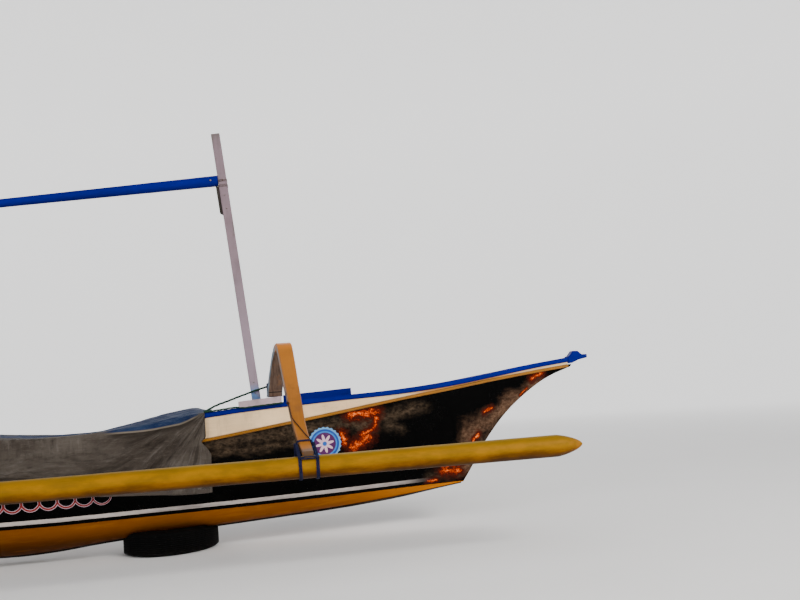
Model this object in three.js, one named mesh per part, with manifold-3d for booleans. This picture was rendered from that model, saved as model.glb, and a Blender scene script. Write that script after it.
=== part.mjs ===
// Double-outrigger canoe parked on two old tyres. Millimetres, X forward, Y to port, Z up,
// origin on the floor under the middle of the hull.
import * as THREE from 'three';
import { mergeVertices } from 'three/addons/utils/BufferGeometryUtils.js';
import Module from 'manifold-3d';

const solids = await Module();
solids.setup();

// Driving dimensions
const GAP = 0.4;                    // between pieces that touch
const HULL = {
  halfBeam: 315, parallelTo: 870, taperEnd: 3306, fineness: 1.75, wall: 34, bottom: 55, openTo: 60,
  cavityEnd: 2180, stemHalf: 14, tipHalf: 26, end: 3325,
  round: 2.6, sharp: 1.35, sharpFrom: 1040, sharpTo: 2560,
};
const BATTEN = { half: 17, deep: 14, thinFrom: 1930, tipDeep: 5, end: 2500 };
const STRAKE = { thick: 21, end: 3300 };
const RAIL = { thick: 12, high: 19, chamfer: 3, end: 3300 };
const CAP = { thick: 30, out: 12, width: 67, end: 3300 };
const DECK = { thick: 18, below: 4, cockpitEnd: 1060, bridgeAft: 1390, wellAft: 2180, tip: 3015 };
const HATCH = { from: 1362, to: 1793, half: 200, high: 46 };
const PAD = { from: 1088, to: 1350, inner: 150, outer: 335, thick: 38 };
const ARM = { footIn: 202, footOut: 305, bevel: 8 };
const BEAM = { deep: 88, wide: 72, bevel: 4 };
const FLOAT = {
  y: 1240, z: 541, aft: -2600, fore: 2926, radius: 56.5, taper: 0.0008, chamfer: 8,
  nose: 145, noseFull: 1.3, noseBlunt: 0.6,
};
const LASHING = {
  wide: 18, thick: 11, side: 33.5, barLong: 28, atY: 1158, atZ: 660, armRadius: 22, room: 1.5,
  straightFrom: 1262,
};
const POST = { footX: 1192, topX: 1033, topZ: 2673, wide: 56, deep: 50, bevel: 3, stand: 3 };
const POLE = { z: 2362, slope: 0.066, aftX: -1470, radius: 37, taper: 0.0066, room: 3 };
const CHOCK = { long: 187, thick: 20, deep: 34, slant: 12, bevel: 2 };
const CRUTCH = {
  x: -1140, deep: 46, stemHalf: 26, headHalf: 47, prong: 62, slotHalf: 23.5, under: 3.4, slotLow: 10,
  shoulder: 30, neck: 110, bevel: 2,
};
const HEAD = { half: 37, bevel: 5 };
const TARP = { aft: -930, fore: 895, inside: 338, hem: 378, thick: 9, crown: 18, over: 1.2, shoulder: 8 };
const TYRE = { foreX: 600, aftX: -1300, segments: 36, hullRoom: 0.8 };
const THWART = { x: -1720, wide: 190, thick: 24 };
const RUDDER = {
  x: -2090, y: -372, stock: 25, top: 1230, bottom: 160, chord: 215, blade: 26, bladeTop: 605, bladeRound: 60,
  bladeDrop: 120, stockEnd: 30, beamHigh: 62, beamHalf: 42, beamPort: 245, beamStarboard: -440, hole: 28,
  collar: 36, collarHigh: 22, collarLift: 2, bevel: 4,
};
const TILLER = { length: 640, z: 1173, high: 38, wide: 34, tip: 26, turn: 0.3, eye: 44, bevel: 4 };

// Hull stations by distance from midships, the same towards bow and stern.
// Columns: distance, top edge of the log, top of the gunwale cap
const STATIONS = [
  [0, 628, 765],
  [430, 650, 791],
  [850, 689, 844],
  [1200, 732, 871],
  [1700, 797, 892],
  [2090, 850, 905],
  [2433, 891, 931],
  [2740, 930, 969],
  [3030, 963, 1008],
  [3325, 992, 1041],
];
// Keel from heel to heel, lowest a little aft of midships. Columns: X, height
const KEEL = [
  [-2515, 260], [-2342, 236], [-2090, 202], [-1700, 158], [-1300, 119], [-820, 83], [-350, 58], [-80, 66],
  [120, 85], [430, 107], [850, 129], [1200, 147], [1700, 175], [2090, 209], [2342, 239], [2515, 260],
];
// Raking stem from the heel to the head. Columns: distance, height
const STEM = [[2515, 260], [2572, 340], [2682, 510], [2825, 678], [2976, 806], [3146, 911], [3325, 977]];
// Facets of the hull and of all that follows it, as distances from midships
const FACETS = [
  0, 320, 600, 870, 1060, 1390, 1660, 1930, 2180, 2342, 2500, 2515, 2572, 2640, 2732, 2842, 3015, 3170, 3300,
  3325,
];
// Middle of an arch arm from its foot over the crown to the float. Columns: y, height, thickness
const ARM_PATH = [
  [300, 974, 61], [388, 1051, 50], [500, 1136, 46], [610, 1190, 46], [692, 1193, 46], [757, 1122, 46],
  [846, 995, 45], [940, 868, 44], [1018, 768, 41], [1100, 697, 37], [1176, 648, 33], [1252, 610, 29],
];
// Arms swept towards the boat's nearer end. Columns: y, distance from midships, width
const ARM_SWEEP = [
  [202, 1298, 80], [692, 1386, 87], [1240, 1467, 58],
];
// Section of a tyre lying flat, hollow towards its middle. Columns: radius, height
const TYRE_SECTION = [
  [172, 24], [180, 5], [204, 0], [262, 0], [287, 14], [294, 42], [294, 108], [287, 136], [262, 150],
  [204, 150], [180, 145], [172, 126], [187, 132], [206, 136], [258, 135], [277, 106], [277, 44], [258, 15],
  [206, 14], [187, 18], [172, 24],
];
// Bow head block. Columns: distance from midships, height
const HEAD_OUTLINE = [
  [3302, 998], [3302, 1045], [3313, 1045], [3342, 1080], [3377, 1078], [3403, 1053], [3440, 1052],
  [3440, 1029], [3378, 1017], [3343, 1003], [3331, 998],
];

// Colour, roughness
const PAINT = {
  black: [0x17161a, 0.55], cream: [0xd8c3a6, 0.6], yellow: [0xc98f12, 0.5], blue: [0x0d2f9a, 0.5],
  orange: [0xc07a24, 0.55], white: [0xcfc4c8, 0.6], bamboo: [0xb98a10, 0.45], rope: [0x15204a, 0.9],
  lilac: [0xbfb2c4, 0.65], navy: [0x0a2a6c, 0.5], tarp: [0x6f7480, 0.85], rubber: [0x17171a, 0.9],
  wood: [0x6b5645, 0.8], dark: [0x2a2622, 0.8],
};

const SIDES = [['starboard', -1], ['port', 1]];
const ENDS = [['front', 1], ['rear', -1]];
const canoe = new THREE.Group();

function add(name, geometry, paint) {
  const [color, roughness] = PAINT[paint];
  const mesh = new THREE.Mesh(geometry, new THREE.MeshStandardMaterial({ color, roughness, metalness: 0 }));
  mesh.name = name;
  canoe.add(mesh);
}

// Smooth value of a table's column at a place of its first column, level where that is 0
function smooth(table, column, place) {
  const last = table.length - 1;
  let i = 0;
  while (i < last - 1 && table[i + 1][0] < place) i += 1;
  const slope = (k) => {
    const from = Math.max(k - 1, 0);
    const to = Math.min(k + 1, last);
    if (table[k][0] === 0) return 0;
    return (table[to][column] - table[from][column]) / (table[to][0] - table[from][0]);
  };
  const span = table[i + 1][0] - table[i][0];
  const t = (place - table[i][0]) / span;
  return table[i][column] * (1 + 2 * t) * (1 - t) ** 2 + table[i + 1][column] * t * t * (3 - 2 * t)
    + slope(i) * span * t * (1 - t) ** 2 - slope(i + 1) * span * t * t * (1 - t);
}

// Every facet's X, from the stern to the bow
const MARKS = [...FACETS.slice(1).map((d) => -d).reverse(), ...FACETS];

// A function of X, straight between the facets
function faceted(value) {
  const heights = MARKS.map(value);
  return (x) => {
    const at = THREE.MathUtils.clamp(x, MARKS[0], MARKS.at(-1));
    const k = Math.max(1, MARKS.findIndex((mark) => mark >= at));
    const t = (at - MARKS[k - 1]) / (MARKS[k] - MARKS[k - 1]);
    return heights[k - 1] + (heights[k] - heights[k - 1]) * t;
  };
}

const keelZ = faceted((x) => {
  const d = Math.abs(x);
  return d < STEM[0][0] ? smooth(KEEL, 1, x) : smooth(STEM, 1, d);
});
const logTopZ = faceted((x) => smooth(STATIONS, 1, Math.abs(x)));
const capTopZ = faceted((x) => smooth(STATIONS, 2, Math.abs(x)));
const halfBeam = faceted((x) => {
  const t = Math.max(0, (Math.abs(x) - HULL.parallelTo) / (HULL.taperEnd - HULL.parallelTo));
  return Math.max(HULL.tipHalf, HULL.halfBeam * (1 - t ** HULL.fineness));
});

// Facets from one X to another, with both ends
function facetsBetween(from, to) {
  return [from, ...MARKS.filter((x) => x > from && x < to), to];
}

// Turns a closed geometry so that its faces point out
function outward(geometry) {
  const position = geometry.getAttribute('position');
  const index = geometry.getIndex().array;
  const [a, b, c] = [new THREE.Vector3(), new THREE.Vector3(), new THREE.Vector3()];
  let volume = 0;
  for (let i = 0; i < index.length; i += 3) {
    a.fromBufferAttribute(position, index[i]);
    b.fromBufferAttribute(position, index[i + 1]);
    c.fromBufferAttribute(position, index[i + 2]);
    volume += a.dot(b.cross(c));
  }
  for (let i = 0; volume < 0 && i < index.length; i += 3) {
    [index[i + 1], index[i + 2]] = [index[i + 2], index[i + 1]];
  }
  return geometry;
}

// Closed solid through rings of [y, z] corners, one ring at each X
function loft(xs, ringAt) {
  const rings = xs.map(ringAt);
  const n = rings[0].length;
  const positions = rings.flatMap((ring, r) => ring.flatMap(([y, z]) => [xs[r], y, z]));
  const index = [];
  for (let r = 0; r < xs.length - 1; r += 1) {
    for (let k = 0; k < n; k += 1) {
      const a = r * n + k;
      const b = r * n + ((k + 1) % n);
      index.push(a, b, a + n, b, b + n, a + n);
    }
  }
  for (const r of [0, xs.length - 1]) {
    const flat = rings[r].map(([y, z]) => new THREE.Vector2(y, z));
    const reverse = (THREE.ShapeUtils.area(flat) > 0) === (r === 0);
    for (const [i, j, k] of THREE.ShapeUtils.triangulateShape(flat, [])) {
      index.push(...(reverse ? [k, j, i] : [i, j, k]).map((corner) => r * n + corner));
    }
  }
  const geometry = new THREE.BufferGeometry();
  geometry.setAttribute('position', new THREE.Float32BufferAttribute(positions, 3));
  geometry.setIndex(index);
  return outward(geometry);
}

// Copy with its corners joined
function joined(geometry) {
  const bare = geometry.clone();
  bare.deleteAttribute('normal');
  bare.deleteAttribute('uv');
  return mergeVertices(bare, 1e-3);
}

function asSolid(geometry) {
  const merged = joined(geometry);
  return new solids.Manifold(new solids.Mesh({
    numProp: 3,
    vertProperties: new Float32Array(merged.getAttribute('position').array),
    triVerts: new Uint32Array(merged.getIndex().array),
  }));
}

function asGeometry(solid) {
  const mesh = solid.getMesh();
  const geometry = new THREE.BufferGeometry();
  geometry.setAttribute('position', new THREE.Float32BufferAttribute(mesh.vertProperties, 3));
  geometry.setIndex(Array.from(mesh.triVerts));
  return geometry;
}

function outlineShape(points) {
  return new THREE.Shape(points.map(([u, v]) => new THREE.Vector2(u, v)));
}

function extrude(shape, depth, bevel) {
  return new THREE.ExtrudeGeometry(shape, {
    depth: depth - 2 * bevel, bevelEnabled: bevel > 0, bevelThickness: bevel, bevelSize: bevel,
    bevelOffset: -bevel, bevelSegments: 1, curveSegments: 12,
  });
}

// Plate with its outline in X and Z, from one Y to another
function plateAcross(points, fromY, toY, bevel) {
  return extrude(outlineShape(points), toY - fromY, bevel).rotateX(Math.PI / 2).translate(0, toY - bevel, 0);
}

// Plate with its outline in Y and Z, from one X to another
function plateAlong(shape, fromX, toX, bevel) {
  return extrude(shape, toX - fromX, bevel).rotateZ(Math.PI / 2).rotateY(Math.PI / 2)
    .translate(fromX + bevel, 0, 0);
}

// Round piece about the X axis. Columns of the profile: x, radius
function turned(profile, segments) {
  const points = profile.map(([x, r]) => new THREE.Vector2(r, x));
  return new THREE.LatheGeometry(points, segments).rotateZ(-Math.PI / 2);
}

function cylinderZ(radius, from, to, segments = 20) {
  return new THREE.CylinderGeometry(radius, radius, to - from, segments)
    .rotateX(Math.PI / 2).translate(0, 0, (from + to) / 2);
}

// Half of the log's section, rounded amidships and sharper towards the ends
function logSection(x, beam, keel, top, samples) {
  const sharp = THREE.MathUtils.smoothstep(Math.abs(x), HULL.sharpFrom, HULL.sharpTo);
  const power = THREE.MathUtils.lerp(HULL.round, HULL.sharp, sharp);
  return Array.from({ length: samples }, (_, i) => {
    const t = ((i + 1) / samples) ** 2;
    return [beam * (1 - (1 - t) ** power) ** (1 / power), keel + (top - keel) * t];
  });
}

function mirrored(half) {
  return [...[...half].reverse().map(([y, z]) => [-y, z]), ...half];
}

function hullForm(grow) {
  return loft(facetsBetween(-HULL.end, HULL.end), (x) => {
    const keel = keelZ(x) - grow;
    const flat = HULL.stemHalf + grow;
    const side = logSection(x, halfBeam(x) + grow, keel, logTopZ(x), 9)
      .map(([y, z]) => [Math.max(y, flat), z]);
    return mirrored([[flat * 0.6, keel], ...side]);
  });
}

function hullLog() {
  const cavity = loft(facetsBetween(-HULL.cavityEnd, HULL.cavityEnd), (x) => {
    const beam = halfBeam(x) - HULL.wall;
    const side = logSection(x, beam, keelZ(x) + HULL.bottom, logTopZ(x), 7);
    return mirrored([...side, [beam, logTopZ(x) + HULL.openTo]]);
  });
  return asGeometry(asSolid(hullForm(0)).subtract(asSolid(cavity)));
}

function battenLowZ(x) {
  const thin = THREE.MathUtils.smoothstep(Math.abs(x), BATTEN.thinFrom, BATTEN.end);
  return keelZ(x) - GAP - THREE.MathUtils.lerp(BATTEN.deep, BATTEN.tipDeep, thin);
}

function hullPieces() {
  add('hull_log', hullLog(), 'black');
  add('keel_batten', loft(facetsBetween(-BATTEN.end, BATTEN.end), (x) => (
    mirrored([[BATTEN.half, battenLowZ(x)], [BATTEN.half * 0.48, keelZ(x) - GAP]])
  )), 'dark');
  for (const [side, sign] of SIDES) {
    add(`wash_strake_${side}`, loft(facetsBetween(-STRAKE.end, STRAKE.end), (x) => {
      const out = halfBeam(x);
      const inner = out - STRAKE.thick;
      const low = logTopZ(x) + GAP;
      const high = capTopZ(x) - CAP.thick - GAP;
      return [[sign * out, low], [sign * out, high], [sign * inner, high], [sign * inner, low]];
    }), 'cream');
    add(`rub_rail_${side}`, loft(facetsBetween(-RAIL.end, RAIL.end), (x) => {
      const inner = sign * (halfBeam(x) + GAP);
      const out = inner + sign * RAIL.thick;
      const high = logTopZ(x);
      const low = high - RAIL.high;
      return [[inner, low], [out, low + RAIL.chamfer], [out, high - RAIL.chamfer], [inner, high]];
    }), 'yellow');
    add(`gunwale_cap_${side}`, loft(facetsBetween(-CAP.end, CAP.end), (x) => {
      const out = halfBeam(x) + CAP.out;
      const inner = Math.max(out - CAP.width, 1);
      const high = capTopZ(x);
      return [[inner, high - CAP.thick], [out, high - CAP.thick], [out, high], [inner, high]]
        .map(([y, z]) => [sign * y, z]);
    }), 'blue');
  }
}

function deckTopZ(x) {
  return capTopZ(x) - DECK.below;
}

function deckPiece(from, to) {
  return loft(facetsBetween(from, to), (x) => {
    const half = Math.max(halfBeam(x) + CAP.out - CAP.width - GAP, 2);
    return mirrored([[half, deckTopZ(x) - DECK.thick], [half, deckTopZ(x)]]);
  });
}

function deckPieces() {
  add('foredeck', deckPiece(DECK.cockpitEnd, DECK.tip), 'blue');
  add('bridge_deck', deckPiece(-DECK.bridgeAft, -DECK.cockpitEnd), 'blue');
  add('afterdeck', deckPiece(-DECK.tip, -DECK.wellAft), 'blue');
  add('hatch_board', loft(facetsBetween(HATCH.from, HATCH.to), (x) => {
    const low = deckTopZ(x) + GAP;
    return mirrored([[HATCH.half, low], [HATCH.half, low + HATCH.high]]);
  }), 'blue');
  const thwartLow = logTopZ(THWART.x - THWART.wide / 2) + GAP;
  add('helm_thwart', loft(facetsBetween(THWART.x - THWART.wide / 2, THWART.x + THWART.wide / 2), (x) => {
    const half = halfBeam(x) - STRAKE.thick - GAP;
    return mirrored([[half, thwartLow], [half, thwartLow + THWART.thick]]);
  }), 'wood');
  for (const [end, direction] of [['bow', 1], ['stern', -1]]) {
    const outline = HEAD_OUTLINE.map(([d, z]) => [direction * d, z]);
    add(`${end}_head`, plateAcross(outline, -HEAD.half, HEAD.half, HEAD.bevel), 'blue');
  }
}

// Circle pair's outline, as a belt around both. Circles are [y, z, radius]
function beltPoints([ay, az, ar], [by, bz, br]) {
  const toB = Math.atan2(bz - az, by - ay);
  const spread = Math.acos((ar - br) / Math.hypot(by - ay, bz - az));
  const arc = (y, z, r, from, to, count) => Array.from({ length: count + 1 }, (_, i) => {
    const angle = from + ((to - from) * i) / count;
    return [y + r * Math.cos(angle), z + r * Math.sin(angle)];
  });
  return [
    ...arc(ay, az, ar, toB + spread, toB + 2 * Math.PI - spread, 16),
    ...arc(by, bz, br, toB - spread, toB + spread, 8),
  ];
}

function floatRadius(x) {
  return FLOAT.radius + FLOAT.taper * x;
}

function floatGeometry(sign) {
  const noseAt = FLOAT.fore - FLOAT.nose;
  const aftR = floatRadius(FLOAT.aft);
  const noseR = floatRadius(noseAt);
  const nose = [0.2, 0.4, 0.6, 0.8, 0.92, 0.98].map((t) => (
    [noseAt + FLOAT.nose * t, noseR * (1 - t ** FLOAT.noseFull) ** FLOAT.noseBlunt]
  ));
  const profile = [
    [FLOAT.aft, 0], [FLOAT.aft, aftR - FLOAT.chamfer], [FLOAT.aft + FLOAT.chamfer, aftR], [noseAt, noseR],
    ...nose, [FLOAT.fore, 0],
  ];
  return turned(profile, 20).translate(0, sign * FLOAT.y, FLOAT.z);
}

function padTopZ(x) {
  return capTopZ(x) + GAP + PAD.thick;
}

// Points to both sides of the arm's middle line, and the foot's two corners
function armOutline(footZ) {
  const curve = new THREE.SplineCurve(ARM_PATH.map(([y, z]) => new THREE.Vector2(y, z)));
  const samples = 30;
  const edges = Array.from({ length: samples + 1 }, (_, i) => {
    const t = i / samples;
    const at = curve.getPoint(t);
    const along = curve.getTangent(t);
    const k = Math.min(Math.floor(t * (ARM_PATH.length - 1)), ARM_PATH.length - 2);
    const part = t * (ARM_PATH.length - 1) - k;
    const half = THREE.MathUtils.lerp(ARM_PATH[k][2], ARM_PATH[k + 1][2], part) / 2;
    return [[at.x - along.y * half, at.y + along.x * half], [at.x + along.y * half, at.y - along.x * half]];
  });
  return [
    [ARM.footIn, footZ], ...edges.map(([upper]) => upper), ...edges.map(([, lower]) => lower).reverse(),
    [ARM.footOut, footZ],
  ];
}

// Value of the sweep table's column at a y
function swept(column, y) {
  const row = y < ARM_SWEEP[1][0] ? 0 : 1;
  const [from, to] = [ARM_SWEEP[row], ARM_SWEEP[row + 1]];
  return THREE.MathUtils.mapLinear(y, from[0], to[0], from[column], to[column]);
}

function armGeometry(end, sign) {
  const footZ = padTopZ(PAD.to) + GAP;
  const shape = outlineShape(armOutline(footZ).map(([y, z]) => [sign * y, z]));
  const geometry = plateAlong(shape, -0.5 * ARM_SWEEP[1][2], 0.5 * ARM_SWEEP[1][2], ARM.bevel);
  const position = geometry.getAttribute('position');
  for (let i = 0; i < position.count; i += 1) {
    const y = Math.abs(position.getY(i));
    const across = (position.getX(i) * swept(2, y)) / ARM_SWEEP[1][2];
    position.setX(i, end * swept(1, y) + across);
  }
  const [tipX, room] = [end * swept(1, FLOAT.y), 200];
  const radius = floatRadius(tipX) + GAP;
  const saddle = turned([[-room, 0], [-room, radius], [room, radius], [room, 0]], 40)
    .translate(tipX, sign * FLOAT.y, FLOAT.z);
  return asGeometry(asSolid(geometry).subtract(asSolid(saddle)));
}

// Two rope bands round arm and float, one on each side of the arm, and the strand over the arm
function lashingGeometry(end, sign) {
  const float = [FLOAT.y, FLOAT.z, floatRadius(end * swept(1, FLOAT.y)) + LASHING.room];
  const arm = [LASHING.atY, LASHING.atZ, LASHING.armRadius];
  const grown = ([y, z, r]) => [y, z, r + LASHING.thick];
  const turnSide = (points) => points.map(([y, z]) => [sign * y, z]);
  const band = outlineShape(turnSide(beltPoints(grown(float), grown(arm))));
  band.holes.push(outlineShape(turnSide(beltPoints(float, arm)).reverse()));
  const rings = [-1, 1].map((side) => {
    const middle = side * (LASHING.side + LASHING.wide / 2);
    return asSolid(plateAlong(band, middle - LASHING.wide / 2, middle + LASHING.wide / 2, 0));
  });
  const [before, tip] = [ARM_PATH.at(-3), ARM_PATH.at(-1)];
  const tilt = Math.atan2(before[1] - tip[1], tip[0] - before[0]);
  const reach = arm[2] + LASHING.thick / 2;
  const bar = new THREE.BoxGeometry(2 * LASHING.side + LASHING.wide, LASHING.barLong, LASHING.thick)
    .rotateX(-sign * tilt)
    .translate(0, sign * (arm[0] + reach * Math.sin(tilt)), arm[1] + reach * Math.cos(tilt));
  const geometry = asGeometry(rings[0].add(rings[1]).add(asSolid(bar)));
  const position = geometry.getAttribute('position');
  for (let i = 0; i < position.count; i += 1) {
    const y = Math.min(Math.abs(position.getY(i)), LASHING.straightFrom);
    position.setX(i, position.getX(i) + end * swept(1, y));
  }
  return geometry;
}

function outriggerPieces() {
  for (const [side, sign] of SIDES) {
    add(`float_${side}`, floatGeometry(sign), 'bamboo');
    for (const [end, direction] of ENDS) {
      const [from, to] = [direction * PAD.from, direction * PAD.to].sort((a, b) => a - b);
      add(`${end}_pad_${side}`, loft(facetsBetween(from, to), (x) => {
        const low = capTopZ(x) + GAP;
        const high = low + PAD.thick;
        return [[PAD.inner, low], [PAD.outer, low], [PAD.outer, high], [PAD.inner, high]]
          .map(([y, z]) => [sign * y, z]);
      }), 'white');
      add(`${end}_arm_${side}`, armGeometry(direction, sign), 'orange');
      add(`${end}_lashing_${side}`, lashingGeometry(direction, sign), 'rope');
    }
  }
  for (const [end, direction] of ENDS) {
    const x = direction * swept(1, ARM.footIn);
    const low = padTopZ(PAD.to) + GAP;
    const half = ARM.footIn - GAP;
    const outline = [[-half, low], [half, low], [half, low + BEAM.deep], [-half, low + BEAM.deep]];
    const beam = plateAlong(outlineShape(outline), x - BEAM.wide / 2, x + BEAM.wide / 2, BEAM.bevel);
    add(`${end}_cross_beam`, beam, 'navy');
  }
}

const postFootZ = deckTopZ(POST.footX) + POST.stand;

function postX(z) {
  return THREE.MathUtils.mapLinear(z, postFootZ, POST.topZ, POST.footX, POST.topX);
}

const lean = Math.atan2(POST.footX - POST.topX, POST.topZ - postFootZ);
const poleForeX = postX(POLE.z) - POST.wide / 2 / Math.cos(lean) - POLE.room;

function poleZ(x) {
  return POLE.z + POLE.slope * (x - poleForeX);
}

function poleRadius(x) {
  return POLE.radius + POLE.taper * (x - poleForeX);
}

function rigPieces() {
  const half = POST.wide / 2;
  const post = [
    [POST.footX - half, postFootZ], [POST.footX + half, postFootZ],
    [POST.topX + half * Math.cos(lean), POST.topZ + half * Math.sin(lean)],
    [POST.topX - half * Math.cos(lean), POST.topZ - half * Math.sin(lean)],
  ];
  add('fore_post', plateAcross(post, -POST.deep / 2, POST.deep / 2, POST.bevel), 'lilac');

  const length = (poleForeX - POLE.aftX) * Math.hypot(1, POLE.slope);
  const aftRadius = poleRadius(POLE.aftX);
  const pole = turned([[0, 0], [0, POLE.radius], [-length, aftRadius], [-length, 0]], 18)
    .rotateY(-Math.atan(POLE.slope)).translate(poleForeX, 0, POLE.z);
  add('ridge_pole', outward(joined(pole)), 'blue');

  const face = (z) => postX(z) - half / Math.cos(lean) - GAP;
  const top = poleZ(poleForeX - CHOCK.thick) - POLE.radius - POLE.room;
  const low = top - CHOCK.long;
  const chock = [
    [face(low), low], [face(top), top], [face(top) - CHOCK.thick, top],
    [face(low) - CHOCK.thick, low + CHOCK.slant],
  ];
  add('pole_chock', plateAcross(chock, -CHOCK.deep / 2, CHOCK.deep / 2, CHOCK.bevel), 'dark');

  const foot = deckTopZ(CRUTCH.x) + POST.stand;
  const seat = poleZ(CRUTCH.x) - poleRadius(CRUTCH.x) - CRUTCH.under;
  const crutch = [
    [CRUTCH.stemHalf, foot], [CRUTCH.stemHalf, seat - CRUTCH.neck], [CRUTCH.headHalf, seat - CRUTCH.shoulder],
    [CRUTCH.headHalf, seat + CRUTCH.prong], [CRUTCH.slotHalf, seat + CRUTCH.prong],
    [CRUTCH.slotHalf, seat + CRUTCH.slotLow], [CRUTCH.slotHalf / 2, seat],
  ];
  const shape = outlineShape([...crutch, ...[...crutch].reverse().map(([y, z]) => [-y, z])]);
  const [aft, fore] = [CRUTCH.x - CRUTCH.deep / 2, CRUTCH.x + CRUTCH.deep / 2];
  add('aft_crutch', plateAlong(shape, aft, fore, CRUTCH.bevel), 'lilac');
}

// Tarpaulin laid over the cockpit, its sides hanging outside the gunwales
function tarpGeometry() {
  return loft(facetsBetween(TARP.aft, TARP.fore), (x) => {
    const over = capTopZ(x) + TARP.over;
    const side = TARP.inside;
    const under = [
      [0, over + TARP.crown], [side * 0.5, over + TARP.crown * 0.8], [side - TARP.shoulder, over],
      [side, over - TARP.shoulder], [side, TARP.hem],
    ];
    const outer = [
      [side + TARP.thick, TARP.hem], [side + TARP.thick, over - TARP.shoulder * 0.6],
      [side - TARP.shoulder * 0.6, over + TARP.thick], [side * 0.5, over + TARP.thick + TARP.crown * 0.8],
      [0, over + TARP.thick + TARP.crown],
    ];
    const mirror = (list) => [...list].reverse().map(([y, z]) => [-y, z]);
    return [...under, ...outer, ...mirror(outer.slice(0, -1)), ...mirror(under.slice(1))];
  });
}

function tyreGeometry(x) {
  const profile = TYRE_SECTION.map(([r, z]) => new THREE.Vector2(r, z));
  const tyre = new THREE.LatheGeometry(profile, TYRE.segments).rotateX(Math.PI / 2).translate(x, 0, 0);
  const batten = loft(facetsBetween(-BATTEN.end, BATTEN.end), (at) => {
    const half = BATTEN.half + TYRE.hullRoom;
    return mirrored([[half, battenLowZ(at) - TYRE.hullRoom], [half, keelZ(at) + BATTEN.deep]]);
  });
  return asGeometry(asSolid(tyre).subtract(asSolid(hullForm(TYRE.hullRoom))).subtract(asSolid(batten)));
}

function rudderPieces() {
  const beamLow = capTopZ(RUDDER.x - RUDDER.beamHalf) + GAP;
  const beamLong = RUDDER.beamPort - RUDDER.beamStarboard;
  const beam = new THREE.BoxGeometry(RUDDER.beamHalf * 2, beamLong, RUDDER.beamHigh)
    .translate(RUDDER.x, RUDDER.beamPort - beamLong / 2, beamLow + RUDDER.beamHigh / 2);
  const bore = cylinderZ(RUDDER.hole, beamLow - RUDDER.hole, beamLow + RUDDER.beamHigh + RUDDER.hole)
    .translate(RUDDER.x, RUDDER.y, 0);
  add('rudder_beam', asGeometry(asSolid(beam).subtract(asSolid(bore))), 'white');

  const collarLow = beamLow + RUDDER.beamHigh + RUDDER.collarLift;
  const stock = asSolid(cylinderZ(RUDDER.stock, RUDDER.bottom + RUDDER.stockEnd, RUDDER.top));
  const collar = asSolid(cylinderZ(RUDDER.collar, collarLow, collarLow + RUDDER.collarHigh));
  const aft = -RUDDER.stock - RUDDER.chord;
  const blade = plateAcross([
    [0, RUDDER.bottom + RUDDER.stockEnd], [0, RUDDER.bladeTop], [-2 * RUDDER.stock, RUDDER.bladeTop],
    [aft + RUDDER.stock, RUDDER.bladeTop - RUDDER.bladeDrop], [aft, RUDDER.bottom + RUDDER.bladeRound],
    [aft + RUDDER.bladeRound, RUDDER.bottom], [-RUDDER.stock, RUDDER.bottom],
  ], -RUDDER.blade / 2, RUDDER.blade / 2, RUDDER.bevel);
  const rudder = stock.add(collar).add(asSolid(blade));
  add('rudder', asGeometry(rudder).translate(RUDDER.x, RUDDER.y, 0), 'white');

  const grip = asSolid(plateAcross([
    [-TILLER.eye, TILLER.z - TILLER.high / 2], [TILLER.length, TILLER.z],
    [TILLER.length, TILLER.z + TILLER.tip], [-TILLER.eye, TILLER.z + TILLER.high / 2],
  ], -TILLER.wide, TILLER.wide, TILLER.bevel));
  const eye = asSolid(cylinderZ(RUDDER.stock + GAP, TILLER.z - TILLER.high, TILLER.z + TILLER.high));
  const tiller = asGeometry(grip.subtract(eye)).rotateZ(TILLER.turn).translate(RUDDER.x, RUDDER.y, 0);
  add('tiller', tiller, 'wood');
}

hullPieces();
deckPieces();
outriggerPieces();
rigPieces();
add('tarpaulin', tarpGeometry(), 'tarp');
add('fore_tyre', tyreGeometry(TYRE.foreX), 'rubber');
add('aft_tyre', tyreGeometry(TYRE.aftX), 'rubber');
rudderPieces();

export default canoe;
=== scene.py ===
# Looks of the outrigger canoe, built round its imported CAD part.
# Metres, X towards the bow, Y to port, Z up, floor at zero.
import math
import bpy
from mathutils import Matrix, Vector, noise


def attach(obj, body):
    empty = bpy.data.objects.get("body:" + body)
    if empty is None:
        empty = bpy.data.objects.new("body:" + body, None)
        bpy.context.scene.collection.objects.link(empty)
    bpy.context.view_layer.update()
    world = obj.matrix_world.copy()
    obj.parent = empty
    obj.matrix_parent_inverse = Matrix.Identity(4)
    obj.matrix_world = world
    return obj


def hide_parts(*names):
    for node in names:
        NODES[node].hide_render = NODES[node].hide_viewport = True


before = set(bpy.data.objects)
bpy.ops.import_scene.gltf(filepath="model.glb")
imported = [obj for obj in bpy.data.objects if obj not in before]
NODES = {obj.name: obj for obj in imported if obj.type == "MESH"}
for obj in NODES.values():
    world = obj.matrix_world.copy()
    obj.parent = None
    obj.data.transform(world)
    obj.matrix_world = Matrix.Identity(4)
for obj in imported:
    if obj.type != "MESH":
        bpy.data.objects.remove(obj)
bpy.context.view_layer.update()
SIDES = (("starboard", -1), ("port", 1))
ENDS = (("front", 1), ("rear", -1))

# Hull stations by distance from midships, as in the part.
# Columns: distance, top edge of the log, top of the gunwale cap
STATIONS = (
    (0, 0.628, 0.765),
    (0.43, 0.650, 0.791),
    (0.85, 0.689, 0.844),
    (1.2, 0.732, 0.871),
    (1.7, 0.797, 0.892),
    (2.09, 0.850, 0.905),
    (2.433, 0.891, 0.931),
    (2.74, 0.930, 0.969),
    (3.03, 0.963, 1.008),
    (3.325, 0.992, 1.041),
)
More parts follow.
